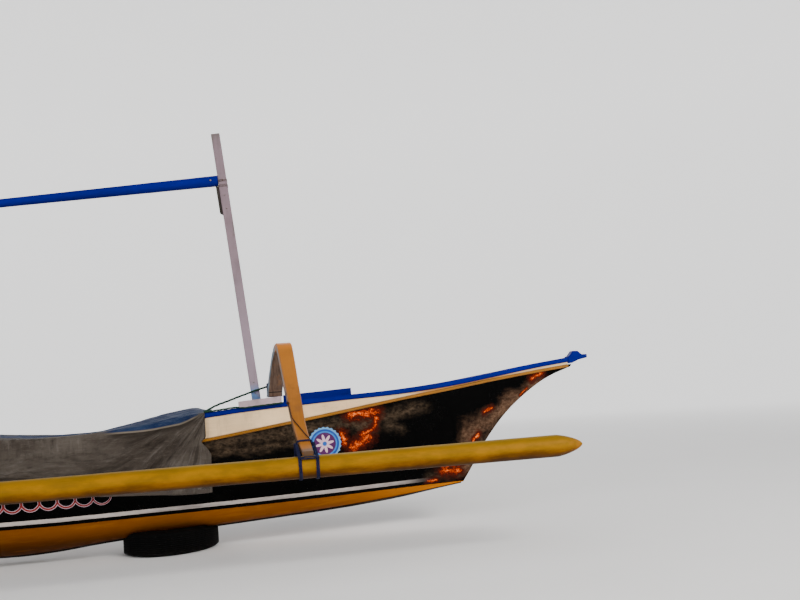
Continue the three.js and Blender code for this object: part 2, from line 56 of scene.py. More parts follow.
# Keel up to its heel. Columns: distance, height
KEEL = (
    (-2.515, 0.260), (-2.342, 0.236), (-2.09, 0.202), (-1.7, 0.158), (-1.3, 0.119), (-0.82, 0.083),
    (-0.35, 0.058), (-0.08, 0.066), (0.12, 0.085), (0.43, 0.107), (0.85, 0.129), (1.2, 0.147),
    (1.7, 0.175), (2.09, 0.209), (2.342, 0.239), (2.515, 0.260),
)
# Raking stem from the heel to the head. Columns: distance, height
STEM = (
    (2.515, 0.260), (2.572, 0.340), (2.682, 0.510), (2.825, 0.678), (2.976, 0.806), (3.146, 0.911),
    (3.325, 0.977),
)
HALF_BEAM = 0.315
PARALLEL_TO = 0.87
TAPER_END = 3.306
FINENESS = 1.75
STEM_HALF = 0.014
TIP_HALF = 0.026
HULL_END = 3.325
CAVITY_END = 2.18
WALL = 0.034
BOTTOM = 0.055
PLANK_END = 3.3
BATTEN_END = 2.5
CAP_THICK = 0.03
CAP_OUT = 0.012
CAP_WIDTH = 0.067
STRAKE_THICK = 0.021
DECK_THICK = 0.018
DECK_BELOW = 0.004
GAP = 0.0004
FLOAT_Y = 1.24
FLOAT_Z = 0.541
FLOAT_RADIUS = 0.0565
STEP = 0.04


def lerp(a, b, t):
    return a + (b - a) * t


def smoothstep(value, low, high):
    t = min(max((value - low) / (high - low), 0), 1)
    return t * t * (3 - 2 * t)


def wobble(point, size, seed=0):
    """Smooth noise from about -1 to 1."""
    return noise.noise(Vector(point) / size + Vector((seed * 7.3, seed * 3.1, seed * 5.7)))


def along(table, column, distance):
    """Smooth value of a table's column at a place of its first column, level where that is 0."""
    last = len(table) - 1
    i = 0
    while i < last - 1 and table[i + 1][0] < distance:
        i += 1

    def slope(k):
        low, high = table[max(k - 1, 0)], table[min(k + 1, last)]
        return 0 if table[k][0] == 0 else (high[column] - low[column]) / (high[0] - low[0])

    span = table[i + 1][0] - table[i][0]
    t = (distance - table[i][0]) / span
    value = table[i][column] * (1 + 2 * t) * (1 - t) ** 2 + table[i + 1][column] * t * t * (3 - 2 * t)
    return value + slope(i) * span * t * (1 - t) ** 2 - slope(i + 1) * span * t * t * (1 - t)


def keel_z(x):
    if abs(x) < STEM[0][0]:
        return along(KEEL, 1, x)
    return along(STEM, 1, min(abs(x), HULL_END))


def log_top_z(x):
    return along(STATIONS, 1, min(abs(x), HULL_END))


def cap_top_z(x):
    return along(STATIONS, 2, min(abs(x), HULL_END))


def half_beam(x):
    t = max(0, (abs(x) - PARALLEL_TO) / (TAPER_END - PARALLEL_TO))
    return max(TIP_HALF, HALF_BEAM * (1 - min(t, 1) ** FINENESS))


def deck_top_z(x):
    return cap_top_z(x) - DECK_BELOW


def log_power(x):
    """Fullness of the log's section: round amidships, sharp at the ends."""
    return lerp(2.6, 1.35, smoothstep(abs(x), 1.04, 2.56))


def log_half(x, t, beam):
    """Half width of the log at the share t of its height."""
    power = log_power(x)
    return beam * (1 - (1 - t) ** power) ** (1 / power)


def hull_y(x, z):
    """Half width of the hull's side at a height."""
    keel, top = keel_z(x), log_top_z(x)
    t = min(max((z - keel) / (top - keel), 0), 1)
    return max(log_half(x, t, half_beam(x)), STEM_HALF)


def stations(start, end, step=STEP):
    count = max(2, round((end - start) / step))
    return [lerp(start, end, i / count) for i in range(count + 1)]


# Mesh pieces
def placed(name, data):
    obj = bpy.data.objects.new(name, data)
    bpy.context.scene.collection.objects.link(obj)
    return obj


def piece(name, points, faces, slot, material=None, body="canoe", sharp=35):
    """A mesh of its own, in the slot's paint unless another material is given."""
    mesh = bpy.data.meshes.new(name)
    mesh.from_pydata([tuple(p) for p in points], [], faces)
    mesh.update()
    mesh.shade_smooth()
    mesh.set_sharp_from_angle(angle=math.radians(sharp))
    mesh.materials.append(material or PAINTS[slot])
    obj = placed(name, mesh)
    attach(obj, body)
    return obj


def skin(rings, closed=False, caps=True):
    """Points and faces of a surface through rings of equal length."""
    count = len(rings[0])
    points = [p for ring in rings for p in ring]
    faces = []
    for r in range(len(rings) - (0 if closed else 1)):
        a, b = r * count, ((r + 1) % len(rings)) * count
        faces += [(a + k, a + (k + 1) % count, b + (k + 1) % count, b + k) for k in range(count)]
    if caps and not closed:
        faces.append(tuple(reversed(range(count))))
        faces.append(tuple(range(len(points) - count, len(points))))
    return points, faces


def merged(parts):
    """Several (points, faces) as one."""
    points, faces = [], []
    for more_points, more_faces in parts:
        start = len(points)
        points += more_points
        faces += [tuple(start + i for i in face) for face in more_faces]
    return points, faces


def circle(count):
    """Cosine and sine at even steps of a full turn."""
    return [(math.cos(2 * math.pi * k / count), math.sin(2 * math.pi * k / count)) for k in range(count)]


def chamfered(ring, size):
    """Polygon with each corner cut, as corner pairs."""
    out = []
    for i, corner in enumerate(ring):
        corner = Vector(corner)
        for other in (Vector(ring[i - 1]), Vector(ring[(i + 1) % len(ring)])):
            edge = other - corner
            out.append(corner + edge * min(size / max(edge.length, 1e-6), 0.4))
    return out


def plank(name, start, end, section, slot, cut=0.003, seed=1):
    """Long piece with a chamfered section of (y, z) corners at each station, a little uneven like sawn wood."""
    wave = 0.0006
    rings = []
    for x in stations(start, end):
        ring = []
        for k, (y, z) in enumerate(chamfered(section(x), cut)):
            across, up = wobble((x, k, 0), 0.13, seed), wobble((x, 0, k), 0.11, seed)
            ring.append((x, y + wave * across, z + wave * up))
        rings.append(ring)
    return piece(name, *skin(rings), slot, sharp=28)


def spline(points, step):
    """Points on a smooth curve through the given ones, about a step apart."""
    points = [Vector(p) for p in points]
    ends = [points[0] * 2 - points[1], *points, points[-1] * 2 - points[-2]]
    out = []
    for a, b, c, d in zip(ends, ends[1:], ends[2:], ends[3:]):
        count = max(1, math.ceil((c - b).length / step))
        for i in range(count):
            t = i / count
            out.append(0.5 * (2 * b + (c - a) * t + (2 * a - 5 * b + 4 * c - d) * t * t
                              + (3 * b - a - 3 * c + d) * t ** 3))
    return out + [points[-1]]


STRAND_DEPTH = 0.13
LAY = 0.03


def tube(path, radius, sides=8, lobes=0, pitch=LAY):
    """Tube on a path. Lobes give it the twisted strands of a laid rope."""
    rings = []
    normal = None
    run = 0
    for i, point in enumerate(path):
        tangent = (path[min(i + 1, len(path) - 1)] - path[max(i - 1, 0)]).normalized()
        if normal is None:
            normal = tangent.orthogonal().normalized()
        normal = (normal - tangent * normal.dot(tangent)).normalized()
        side = tangent.cross(normal)
        run += (point - path[max(i - 1, 0)]).length
        ring = []
        for k in range(sides):
            angle = 2 * math.pi * k / sides
            strand = math.cos(lobes * angle - 2 * math.pi * run / pitch)
            bulge = 1 - STRAND_DEPTH * (1 + strand) if lobes else 1
            ring.append(point + (normal * math.cos(angle) + side * math.sin(angle)) * radius * bulge)
        rings.append(ring)
    return skin(rings)


def rope(name, points, radius, material):
    path = spline(points, radius * 1.6)
    piece(name, *tube(path, radius, sides=12, lobes=3, pitch=radius * 7), "lashing_rope", material, sharp=180)


def rope_turn(points, radius, step=0.007):
    """A turn of a laid rope, as part of a lashing."""
    return tube(spline(points, step), radius, sides=9, lobes=3)


def dome(centre, normal, radius, height):
    """Nail or bolt head."""
    normal = Vector(normal).normalized()
    u = normal.orthogonal().normalized()
    v = normal.cross(u)
    rings = []
    for share, up in ((1, -0.3), (1, 0.25), (0.86, 0.7), (0.5, 0.95), (0.05, 1)):
        rings.append([Vector(centre) + normal * height * up + (u * c + v * s) * radius * share
                      for c, s in circle(12)])
    return skin(rings)


def dented(profile, sides, centre, depth, grain, size, seed):
    """Rings of a round pole with shallow dents. The profile has (x, radius), and centre gives (y, z) at x."""
    rings = []
    for x, radius in profile:
        y, z = centre(x)
        ring = []
        for c, s in circle(sides):
            reach = radius * (1 - depth * abs(wobble((x, c * grain, s * grain), size, seed)))
            ring.append((x, y + reach * c, z + reach * s))
        rings.append(ring)
    return rings


# Colours, as 0 to 255 screen values
def tone(red, green, blue):
    shares = [c / 255 for c in (red, green, blue)]
    return tuple(c / 12.92 if c < 10 / 255 else ((c + 0.055) / 1.055) ** 2.4 for c in shares) + (1,)


CREAM = tone(224, 192, 148)
ROYAL = tone(0, 10, 104)
OCHRE = tone(138, 88, 8)
AMBER = tone(142, 79, 5)
TAN = tone(141, 85, 22)
CHALK = tone(166, 147, 151)
LILAC = tone(117, 99, 106)
NAVY = tone(4, 6, 50)
ROPE_BLUE = tone(6, 10, 46)
SOOT = tone(2, 2, 2)
DIRT = tone(44, 36, 30)
WOOD = tone(104, 84, 66)
GREY_WOOD = tone(84, 77, 72)
DARK_WOOD = tone(32, 25, 21)
RUBBER = tone(3, 3, 3)
STEEL = tone(120, 116, 110)

# Strokes of smoke on the black log, on both sides and at both ends.
# Columns: distance from midships and height of the start, the same of the end, half width
SMOKE = (
    (0.80, 0.640, 1.70, 0.705, 0.060), (0.85, 0.590, 1.45, 0.625, 0.035), (1.67, 0.717, 1.91, 0.698, 0.064),
    (2.00, 0.729, 2.23, 0.787, 0.058), (2.01, 0.689, 2.10, 0.656, 0.042), (2.56, 0.560, 2.72, 0.655, 0.090),
    (2.72, 0.655, 2.90, 0.775, 0.062),
    (2.90, 0.775, 3.10, 0.895, 0.045), (2.30, 0.300, 2.54, 0.360, 0.055),
)
# Strokes of sparks. The columns are the same
SPARKS = (
    (1.77, 0.766, 1.94, 0.772, 0.024), (1.94, 0.734, 1.92, 0.665, 0.013), (1.92, 0.671, 1.84, 0.634, 0.016),
    (1.88, 0.618, 1.78, 0.563, 0.026), (1.71, 0.658, 1.73, 0.593, 0.019), (3.04, 0.914, 3.11, 0.944, 0.019),
    (2.95, 0.806, 3.00, 0.850, 0.006), (2.68, 0.712, 2.73, 0.735, 0.012), (2.59, 0.527, 2.63, 0.570, 0.013),
    (2.38, 0.352, 2.48, 0.342, 0.026), (2.27, 0.288, 2.33, 0.289, 0.011),
)


class Finish:
    """A material under construction. Each method adds nodes and gives back their result."""

    def __init__(self, name, roughness=0.5, gloss=0.25):
        self.material = bpy.data.materials.new(name)
        self.material.use_nodes = True
        self.tree = self.material.node_tree
        self.shader = self.tree.nodes["Principled BSDF"]
        self.shader.inputs["Roughness"].default_value = roughness
        self.shader.inputs["Specular IOR Level"].default_value = gloss
        self.where = self.node("TexCoord").outputs["Object"]
        self.x, self.y, self.z = self.node("SeparateXYZ", Vector=self.where).outputs
        self.normal = None

    def feed(self, socket, value):
        if isinstance(value, bpy.types.NodeSocket):
            self.tree.links.new(value, socket)
        else:
            socket.default_value = value

    def node(self, kind, **inputs):
        """A new node, with its inputs fed by name."""
        made = self.tree.nodes.new("ShaderNode" + kind)
        for name, value in inputs.items():
            self.feed(made.inputs[name.replace("_", " ")], value)
        return made

    def noise(self, size, stretch=(1, 1, 1), detail=4, rough=0.55, seed=0, warp=0):
        shift = (seed * 3.7, seed * 1.9, seed * 2.3)
        place = self.node("Mapping", Vector=self.where, Scale=stretch, Location=shift).outputs[0]
        return self.node("TexNoise", Vector=place, Scale=1 / size, Detail=detail, Roughness=rough,
                         Distortion=warp).outputs["Fac"]

    def mask(self, value, low, high):
        """From 0 at low to 1 at high, smoothly."""
        made = self.node("MapRange", Value=value, From_Min=low, From_Max=high)
        made.interpolation_type = "SMOOTHSTEP"
        return made.outputs[0]

    def patches(self, low, high, *noise, **more):
        return self.mask(self.noise(*noise, **more), low, high)

    def calc(self, operation, a, b=0.0, c=0.0):
        made = self.node("Math")
        made.operation = operation
        for socket, value in zip(made.inputs, (a, b, c)):
            self.feed(socket, value)
        return made.outputs[0]

    def minus(self, a, b):
        return self.calc("SUBTRACT", a, b)

    def absolute(self, value):
        return self.calc("ABSOLUTE", value)

    def scale(self, value, factor, plus):
        return self.calc("MULTIPLY_ADD", value, factor, plus)

    def times(self, *factors):
        product = factors[0]
        for factor in factors[1:]:
            product = self.calc("MULTIPLY", product, factor)
        return product

    def length(self, u, v):
        return self.calc("SQRT", self.scale(u, u, self.times(v, v)))

    def mix(self, share, a, b):
        made = self.node("Mix")
        made.data_type = "RGBA"
        for index, value in ((0, share), (6, a), (7, b)):
            self.feed(made.inputs[index], value)
        return made.outputs[2]

    def layer(self, colour, over, value, low, high, share=1.0):
        """A colour with another over it, where the value goes from low to high."""
        where = self.mask(value, low, high)
        return self.mix(where if share == 1.0 else self.times(where, share), colour, over)

    def bump(self, height, depth, strength):
        made = self.node("Bump", Strength=strength, Distance=depth, Height=height)
        if self.normal is not None:
            self.feed(made.inputs["Normal"], self.normal)
        self.normal = made.outputs[0]

    def strokes(self, table, across):
        """From 1 along the middle of the nearest stroke to 0 at its edge, and on below 0."""
        nearest = 100.0
        for x0, z0, x1, z1, reach in table:
            dx, dz = x1 - x0, z1 - z0
            u, v = self.minus(across, x0), self.minus(self.z, z0)
            length = dx * dx + dz * dz
            t = self.scale(u, dx / length, self.times(v, dz / length))
            t = self.calc("MINIMUM", self.calc("MAXIMUM", t, 0.0), 1.0)
            away = self.length(self.scale(t, -dx, u), self.scale(t, -dz, v))
            nearest = self.calc("MINIMUM", nearest, self.calc("DIVIDE", away, reach))
        return self.minus(1.0, nearest)

    def finish(self, colour, roughness=None):
        self.feed(self.shader.inputs["Base Color"], colour)
        if roughness is not None:
            self.feed(self.shader.inputs["Roughness"], roughness)
        if self.normal is not None:
            self.feed(self.shader.inputs["Normal"], self.normal)
        return self.material


def darker(colour, share):
    return tuple(c * share for c in colour[:3]) + (1,)


def brush_painted(f, base, grain, seed, under=GREY_WOOD, chips=0.68, dirt=0.5, fade=1.25):
    """Brushed paint on wood: uneven coats, strokes along the grain, chips down to the wood and grime."""
    coats = f.layer(darker(base, 0.84), darker(base, fade * 0.9), f.noise(0.35, seed=seed), 0.3, 0.7)
    strokes = f.noise(0.012, grain, detail=5, rough=0.7, seed=seed + 1)
    colour = f.layer(coats, darker(base, fade), strokes, 0.42, 0.7, 0.35)
    specks = f.noise(0.006, detail=2, seed=seed + 2)
    colour = f.layer(colour, darker(base, 0.6), specks, 0.6, 0.72, 0.22)
    scratch = f.noise(0.02, tuple(g * 0.5 for g in grain), detail=6, rough=0.8, seed=seed + 3)
    chip = f.times(f.mask(scratch, chips - 0.02, chips), f.patches(0.42, 0.6, 0.25, seed=seed + 4))
    colour = f.mix(chip, colour, under)
    grime = f.times(f.patches(0.46, 0.72, 0.16, detail=6, rough=0.7, seed=seed + 5), dirt)
    colour = f.mix(grime, colour, DIRT)
    f.bump(strokes, 0.0006, 0.5)
    f.bump(f.minus(1.0, chip), 0.0007, 0.8)
    f.bump(f.noise(0.09, detail=2, seed=seed + 6), 0.004, 0.25)
    return colour, strokes, grime


def paint(name, base, grain=(0.06, 1, 1), seed=1, roughness=0.42, gloss=0.25, **looks):
    f = Finish(name, gloss=gloss)
    colour, strokes, grime = brush_painted(f, base, grain, seed, **looks)
    dull = f.scale(strokes, 0.2, roughness - 0.1)
    return f.finish(colour, f.scale(grime, 0.35, dull))


def strake_paint():
    """Cream planks, stained warm in places, streaked downwards, and tan near the ends."""
    f = Finish("cream_paint")
    bare = tone(120, 92, 66)
    colour, _, grime = brush_painted(f, CREAM, (0.06, 1, 1), 81, under=bare, chips=0.66, dirt=0.18)
    flush = f.noise(0.2, (0.4, 1, 1), detail=5, seed=97)
    colour = f.layer(colour, tone(214, 158, 112), flush, 0.42, 0.7, 0.35)
    streak = f.noise(0.03, (1, 1, 0.12), detail=5, rough=0.7, seed=98)
    colour = f.layer(colour, tone(132, 104, 84), streak, 0.56, 0.72, 0.3)
    distance = f.absolute(f.x)
    runs_out = f.times(f.mask(distance, 2.1, 2.32), f.mask(distance, 3.1, 2.7))
    colour = f.mix(f.times(runs_out, 0.9), colour, tone(168, 110, 48))
    return f.finish(colour, f.scale(grime, 0.35, 0.4))


def wood(name, base, seed):
    """Bare weathered wood: grain, checks and stains."""
    f = Finish(name)
    grain = (0.05, 1, 1)
    lines = f.noise(0.006, grain, detail=6, rough=0.65, seed=seed, warp=0.4)
    colour = f.layer(darker(base, 0.55), darker(base, 1.2), lines, 0.3, 0.7)
    colour = f.layer(colour, darker(GREY_WOOD, 0.8), f.noise(0.2, seed=seed + 1), 0.4, 0.7, 0.5)
    check = f.patches(0.66, 0.69, 0.02, tuple(g * 0.4 for g in grain), detail=7, rough=0.8, seed=seed + 2)
    colour = f.mix(check, colour, darker(base, 0.2))
    f.bump(lines, 0.001, 0.6)
    f.bump(f.minus(1.0, check), 0.001, 0.8)
    return f.finish(colour, f.scale(lines, 0.2, 0.65))


def hull_paint():
    """Black log with brown smoke and sparks, an amber bottom, and a white line that fades at the ends. The amber
    has painted light near the ends and painted shade aft and low down.
    """
    f = Finish("hull_paint", gloss=0.03)
    distance = f.absolute(f.x)
    ragged = f.times(f.minus(f.noise(0.03, seed=3), 0.5), 0.004)
    level = f.calc("ADD", f.scale(distance, -0.0095, f.z), ragged)

    wisp = f.noise(0.11, (0.7, 1, 1), detail=9, rough=0.66, seed=11, warp=0.5)
    cloud = f.calc("ADD", f.strokes(SMOKE, distance), f.scale(wisp, 3.4, -1.7))
    fine = f.noise(0.018, (0.6, 1, 1), detail=6, rough=0.7, seed=5)
    brown = f.layer(tone(30, 24, 18), tone(76, 62, 48), fine, 0.34, 0.68)
    stem = f.layer(tone(64, 44, 32), tone(112, 84, 64), fine, 0.3, 0.7)
    brown = f.layer(brown, stem, distance, 2.3, 2.55)
    soot = f.layer(SOOT, brown, cloud, -0.5, 1.5, 0.95)

    spark = f.noise(0.026, (0.8, 1, 1), detail=8, rough=0.75, seed=8, warp=0.4)
    grit = f.noise(0.007, detail=4, rough=0.7, seed=23)
    loose = f.calc("ADD", f.scale(spark, 5.6, -2.8), f.scale(grit, 3.2, -1.6))
    heat = f.calc("ADD", f.strokes(SPARKS, distance), loose)
    for low, high, glow in ((-2.2, 0.2, tone(58, 18, 9)), (0.0, 0.9, tone(140, 36, 9)),
                            (0.6, 1.2, tone(228, 96, 18)), (1.3, 2.0, tone(255, 172, 92))):
        soot = f.layer(soot, glow, heat, low, high)

    streak = f.noise(0.05, (0.12, 1, 1), detail=6, rough=0.7, seed=14)
    amber = f.layer(darker(AMBER, 0.78), AMBER, f.noise(0.5, (0.4, 1, 1), seed=9), 0.35, 0.65)
    amber = f.layer(amber, tone(186, 116, 12), streak, 0.5, 0.75, 0.35)
    # Painted light and shade: the amber is lighter near the ends (this line) and darker aft (next line).
    amber = f.layer(amber, tone(186, 108, 8), distance, 1.5, 2.3, 0.8)
    amber = f.layer(amber, tone(70, 34, 3), f.x, 0.9, -0.7, 0.45)
    # Painted shade: the amber darkens in streaks towards the bottom of the hull.
    low = f.times(f.mask(f.z, 0.22, 0.1), f.mask(streak, 0.2, 0.5))
    amber = f.mix(f.times(low, 0.8), amber, tone(48, 22, 3))

    white = f.layer(tone(184, 174, 168), tone(128, 120, 117), streak, 0.4, 0.7)
    faded = f.times(f.mask(distance, 2.32, 1.95), f.mask(streak, 0.2, 0.36))
    line = f.times(f.mask(level, 0.2635, 0.2645), f.mask(level, 0.2890, 0.2880))
    colour = f.mix(f.times(line, faded), soot, white)
    bottom = f.times(f.mask(level, 0.2415, 0.2405), f.mask(distance, 2.62, 2.53))
    colour = f.mix(bottom, colour, amber)

    scuff = f.noise(0.02, (0.06, 1, 0.6), detail=7, rough=0.8, seed=17)
    worn = f.times(f.mask(scuff, 0.67, 0.71), f.patches(0.45, 0.6, 0.4, seed=18))
    colour = f.mix(f.times(worn, 0.5), colour, tone(60, 50, 42))
    dust = f.patches(0.5, 0.8, 0.22, detail=6, rough=0.7, seed=19)
    colour = f.mix(f.times(dust, 0.04), colour, DIRT)
    f.bump(f.noise(0.16, (0.4, 1, 1), detail=3, seed=15), 0.006, 0.35)
    f.bump(streak, 0.001, 0.5)
    f.bump(f.noise(0.008, (0.3, 1, 1), detail=4, seed=16), 0.0005, 0.4)
    return f.finish(colour, f.scale(bottom, 0.35, f.scale(dust, 0.4, 0.24)))


def float_paint():
    """Golden pole, greenish on top, mottled and scuffed, with a painted highlight along the top and painted shade
    that makes it browner below and dark underneath.
    """
    f = Finish("float_paint", gloss=0.08)
    edge = f.times(f.minus(f.noise(0.12, (0.4, 1, 1), detail=5, seed=2), 0.5), 0.04)
    level = f.calc("ADD", f.z, edge)
    mottle = f.noise(0.07, (0.35, 1, 1), detail=6, rough=0.65, seed=4)
    # Painted light and shade: lighter gold on the upper half, darker and browner on the lower half.
    top = f.layer(tone(118, 84, 0), tone(144, 99, 1), mottle, 0.35, 0.68)
    low = f.layer(tone(84, 49, 1), tone(124, 78, 2), mottle, 0.35, 0.7)
    colour = f.layer(low, top, level, FLOAT_Z - 0.03, FLOAT_Z + 0.004)
    green = f.times(f.mask(level, FLOAT_Z + 0.022, FLOAT_Z + 0.048), 0.4)
    colour = f.mix(green, colour, tone(102, 80, 2))
    # Painted highlight: a pale line along the top of the pole.
    crest_highlight = f.times(f.mask(level, FLOAT_Z + 0.046, FLOAT_Z + 0.057), f.mask(mottle, 0.3, 0.5))
    colour = f.mix(f.times(crest_highlight, 0.3), colour, tone(112, 102, 24))
    # Painted shade: dark brown along the underside.
    colour = f.layer(colour, tone(44, 24, 2), level, FLOAT_Z - 0.026, FLOAT_Z - 0.054, 0.75)
    stroke = f.noise(0.01, (0.05, 1, 1), detail=6, rough=0.75, seed=6)
    colour = f.layer(colour, tone(160, 106, 8), stroke, 0.5, 0.75, 0.3)
    speck = f.patches(0.67, 0.73, 0.012, (0.5, 1, 1), detail=5, rough=0.8, seed=7)
    colour = f.mix(f.times(speck, 0.6), colour, tone(50, 36, 12))
    tip = f.times(f.mask(f.x, 2.8, 2.92), f.patches(0.42, 0.6, 0.03, seed=9, detail=6))
    colour = f.mix(f.times(tip, 0.45), colour, tone(160, 96, 14))
    f.bump(f.noise(0.2, (0.5, 1, 1), detail=2, seed=3), 0.006, 0.3)
    f.bump(stroke, 0.0006, 0.6)
    f.bump(f.minus(1.0, speck), 0.0005, 0.6)
    return f.finish(colour, f.scale(mottle, 0.25, 0.42))


def arm_paint():
    """Ochre arms with a painted highlight over the crown; the inner legs keep brown undersides and a weathered
    blue edge.
    """
    f = Finish("arm_paint")
    colour, strokes, grime = brush_painted(f, TAN, (1, 0.12, 0.12), 31, under=tone(84, 56, 32), dirt=0.3)
    lit = f.patches(0.4, 0.7, 0.18, (1, 0.3, 0.3), detail=4, seed=33)
    colour = f.mix(f.times(lit, 0.35), colour, tone(160, 98, 30))
    # Painted highlight: the arch is lighter and warmer above 1.17 m, over its crown.
    colour = f.layer(colour, tone(186, 108, 28), f.z, 1.17, 1.2, 0.6)
    reach = f.absolute(f.y)
    inner = f.times(f.mask(reach, 0.66, 0.60), f.patches(0.2, 0.45, 0.05, seed=35))
    grain = f.noise(0.012, (1, 0.1, 0.1), detail=6, rough=0.7, seed=36)
    brown = f.layer(tone(62, 50, 44), tone(102, 86, 76), grain, 0.3, 0.7)
    colour = f.mix(f.times(inner, 0.92), colour, brown)
    joint = f.times(f.mask(f.z, 0.940, 0.942), f.mask(f.z, 0.948, 0.946))
    colour = f.mix(f.times(joint, inner), colour, tone(22, 17, 14))
    end = f.times(f.mask(reach, 1.225, 1.245), f.patches(0.25, 0.45, 0.02, seed=38))
    colour = f.mix(f.times(end, 0.85), colour, tone(92, 78, 66))
    facing = f.node("SeparateXYZ", Vector=f.node("NewGeometry").outputs["Normal"])
    side = f.absolute(facing.outputs[0])
    edge = f.times(f.mask(side, 0.75, 0.9), f.patches(0.3, 0.5, 0.06, seed=37))
    colour = f.mix(f.times(edge, 0.9), colour, f.mix(inner, tone(58, 36, 16), tone(34, 76, 98)))
    return f.finish(colour, f.scale(strokes, 0.2, f.scale(grime, 0.3, 0.34)))


def post_paint():
    """Pinkish white, washed blue at the foot and bare at the top, with drips."""
    f = Finish("post_paint")
    colour, _, grime = brush_painted(f, LILAC, (1, 1, 0.05), 41, under=GREY_WOOD, dirt=0.25, chips=0.64)
    colour = f.layer(colour, tone(150, 134, 146), f.z, 2.0, 1.1, 0.6)
    foot = f.times(f.mask(f.z, 1.03, 0.94), f.patches(0.3, 0.55, 0.05, detail=5, seed=43))
    colour = f.mix(f.times(foot, 0.75), colour, tone(78, 134, 190))
    head = f.times(f.mask(f.z, 2.5, 2.66), f.patches(0.35, 0.6, 0.04, (1, 1, 0.3), detail=6, seed=44))
    colour = f.mix(f.times(head, 0.7), colour, GREY_WOOD)
    drip = f.noise(0.03, (1, 1, 0.04), detail=5, rough=0.7, seed=45)
    colour = f.layer(colour, tone(108, 92, 98), drip, 0.56, 0.7, 0.45)
    return f.finish(colour, f.scale(grime, 0.3, 0.5))


def rope_fibre(name, base, seed=1):
    """Twisted plastic fibre, bleached and sandy in places."""
    f = Finish(name, 0.85)
    fibre = f.noise(0.0022, (1, 1, 1), detail=4, rough=0.7, seed=seed)
    colour = f.layer(darker(base, 0.5), darker(base, 1.5), fibre, 0.3, 0.7)
    bleached = f.patches(0.5, 0.75, 0.05, detail=4, seed=seed + 1)
    colour = f.mix(f.times(bleached, 0.15), colour, tone(70, 76, 96))
    sand = f.patches(0.68, 0.74, 0.004, detail=2, seed=seed + 2)
    colour = f.mix(f.times(sand, 0.4), colour, DIRT)
    f.bump(fibre, 0.0008, 0.8)
    return f.finish(colour)


def rubber_finish():
    """Old tyre: bloom, fine cracks and sand near the floor."""
    f = Finish("old_rubber", 0.8, gloss=0.06)
    bloom = f.noise(0.12, detail=6, rough=0.7, seed=51)
    colour = f.layer(RUBBER, tone(10, 9, 9), bloom, 0.42, 0.7, 0.6)
    cracks = f.noise(0.006, (1, 1, 4), detail=6, rough=0.8, seed=52)
    colour = f.layer(colour, tone(3, 3, 4), cracks, 0.62, 0.7)
    sand = f.times(f.patches(0.52, 0.66, 0.01, detail=5, rough=0.8, seed=53), f.mask(f.z, 0.07, 0.0))
    colour = f.mix(f.times(sand, 0.5), colour, tone(56, 48, 40))
    f.bump(cracks, 0.0008, 0.6)
    f.bump(bloom, 0.002, 0.3)
    return f.finish(colour, f.scale(bloom, 0.2, 0.66))


def metal(name, base, seed=1):
    """Galvanised steel with rust."""
    f = Finish(name, 0.45, gloss=0.5)
    f.shader.inputs["Metallic"].default_value = 0.85
    rust = f.patches(0.42, 0.62, 0.008, detail=5, rough=0.7, seed=seed)
    f.bump(rust, 0.0006, 0.6)
    return f.finish(f.mix(rust, base, tone(74, 38, 22)), f.scale(rust, 0.4, 0.35))


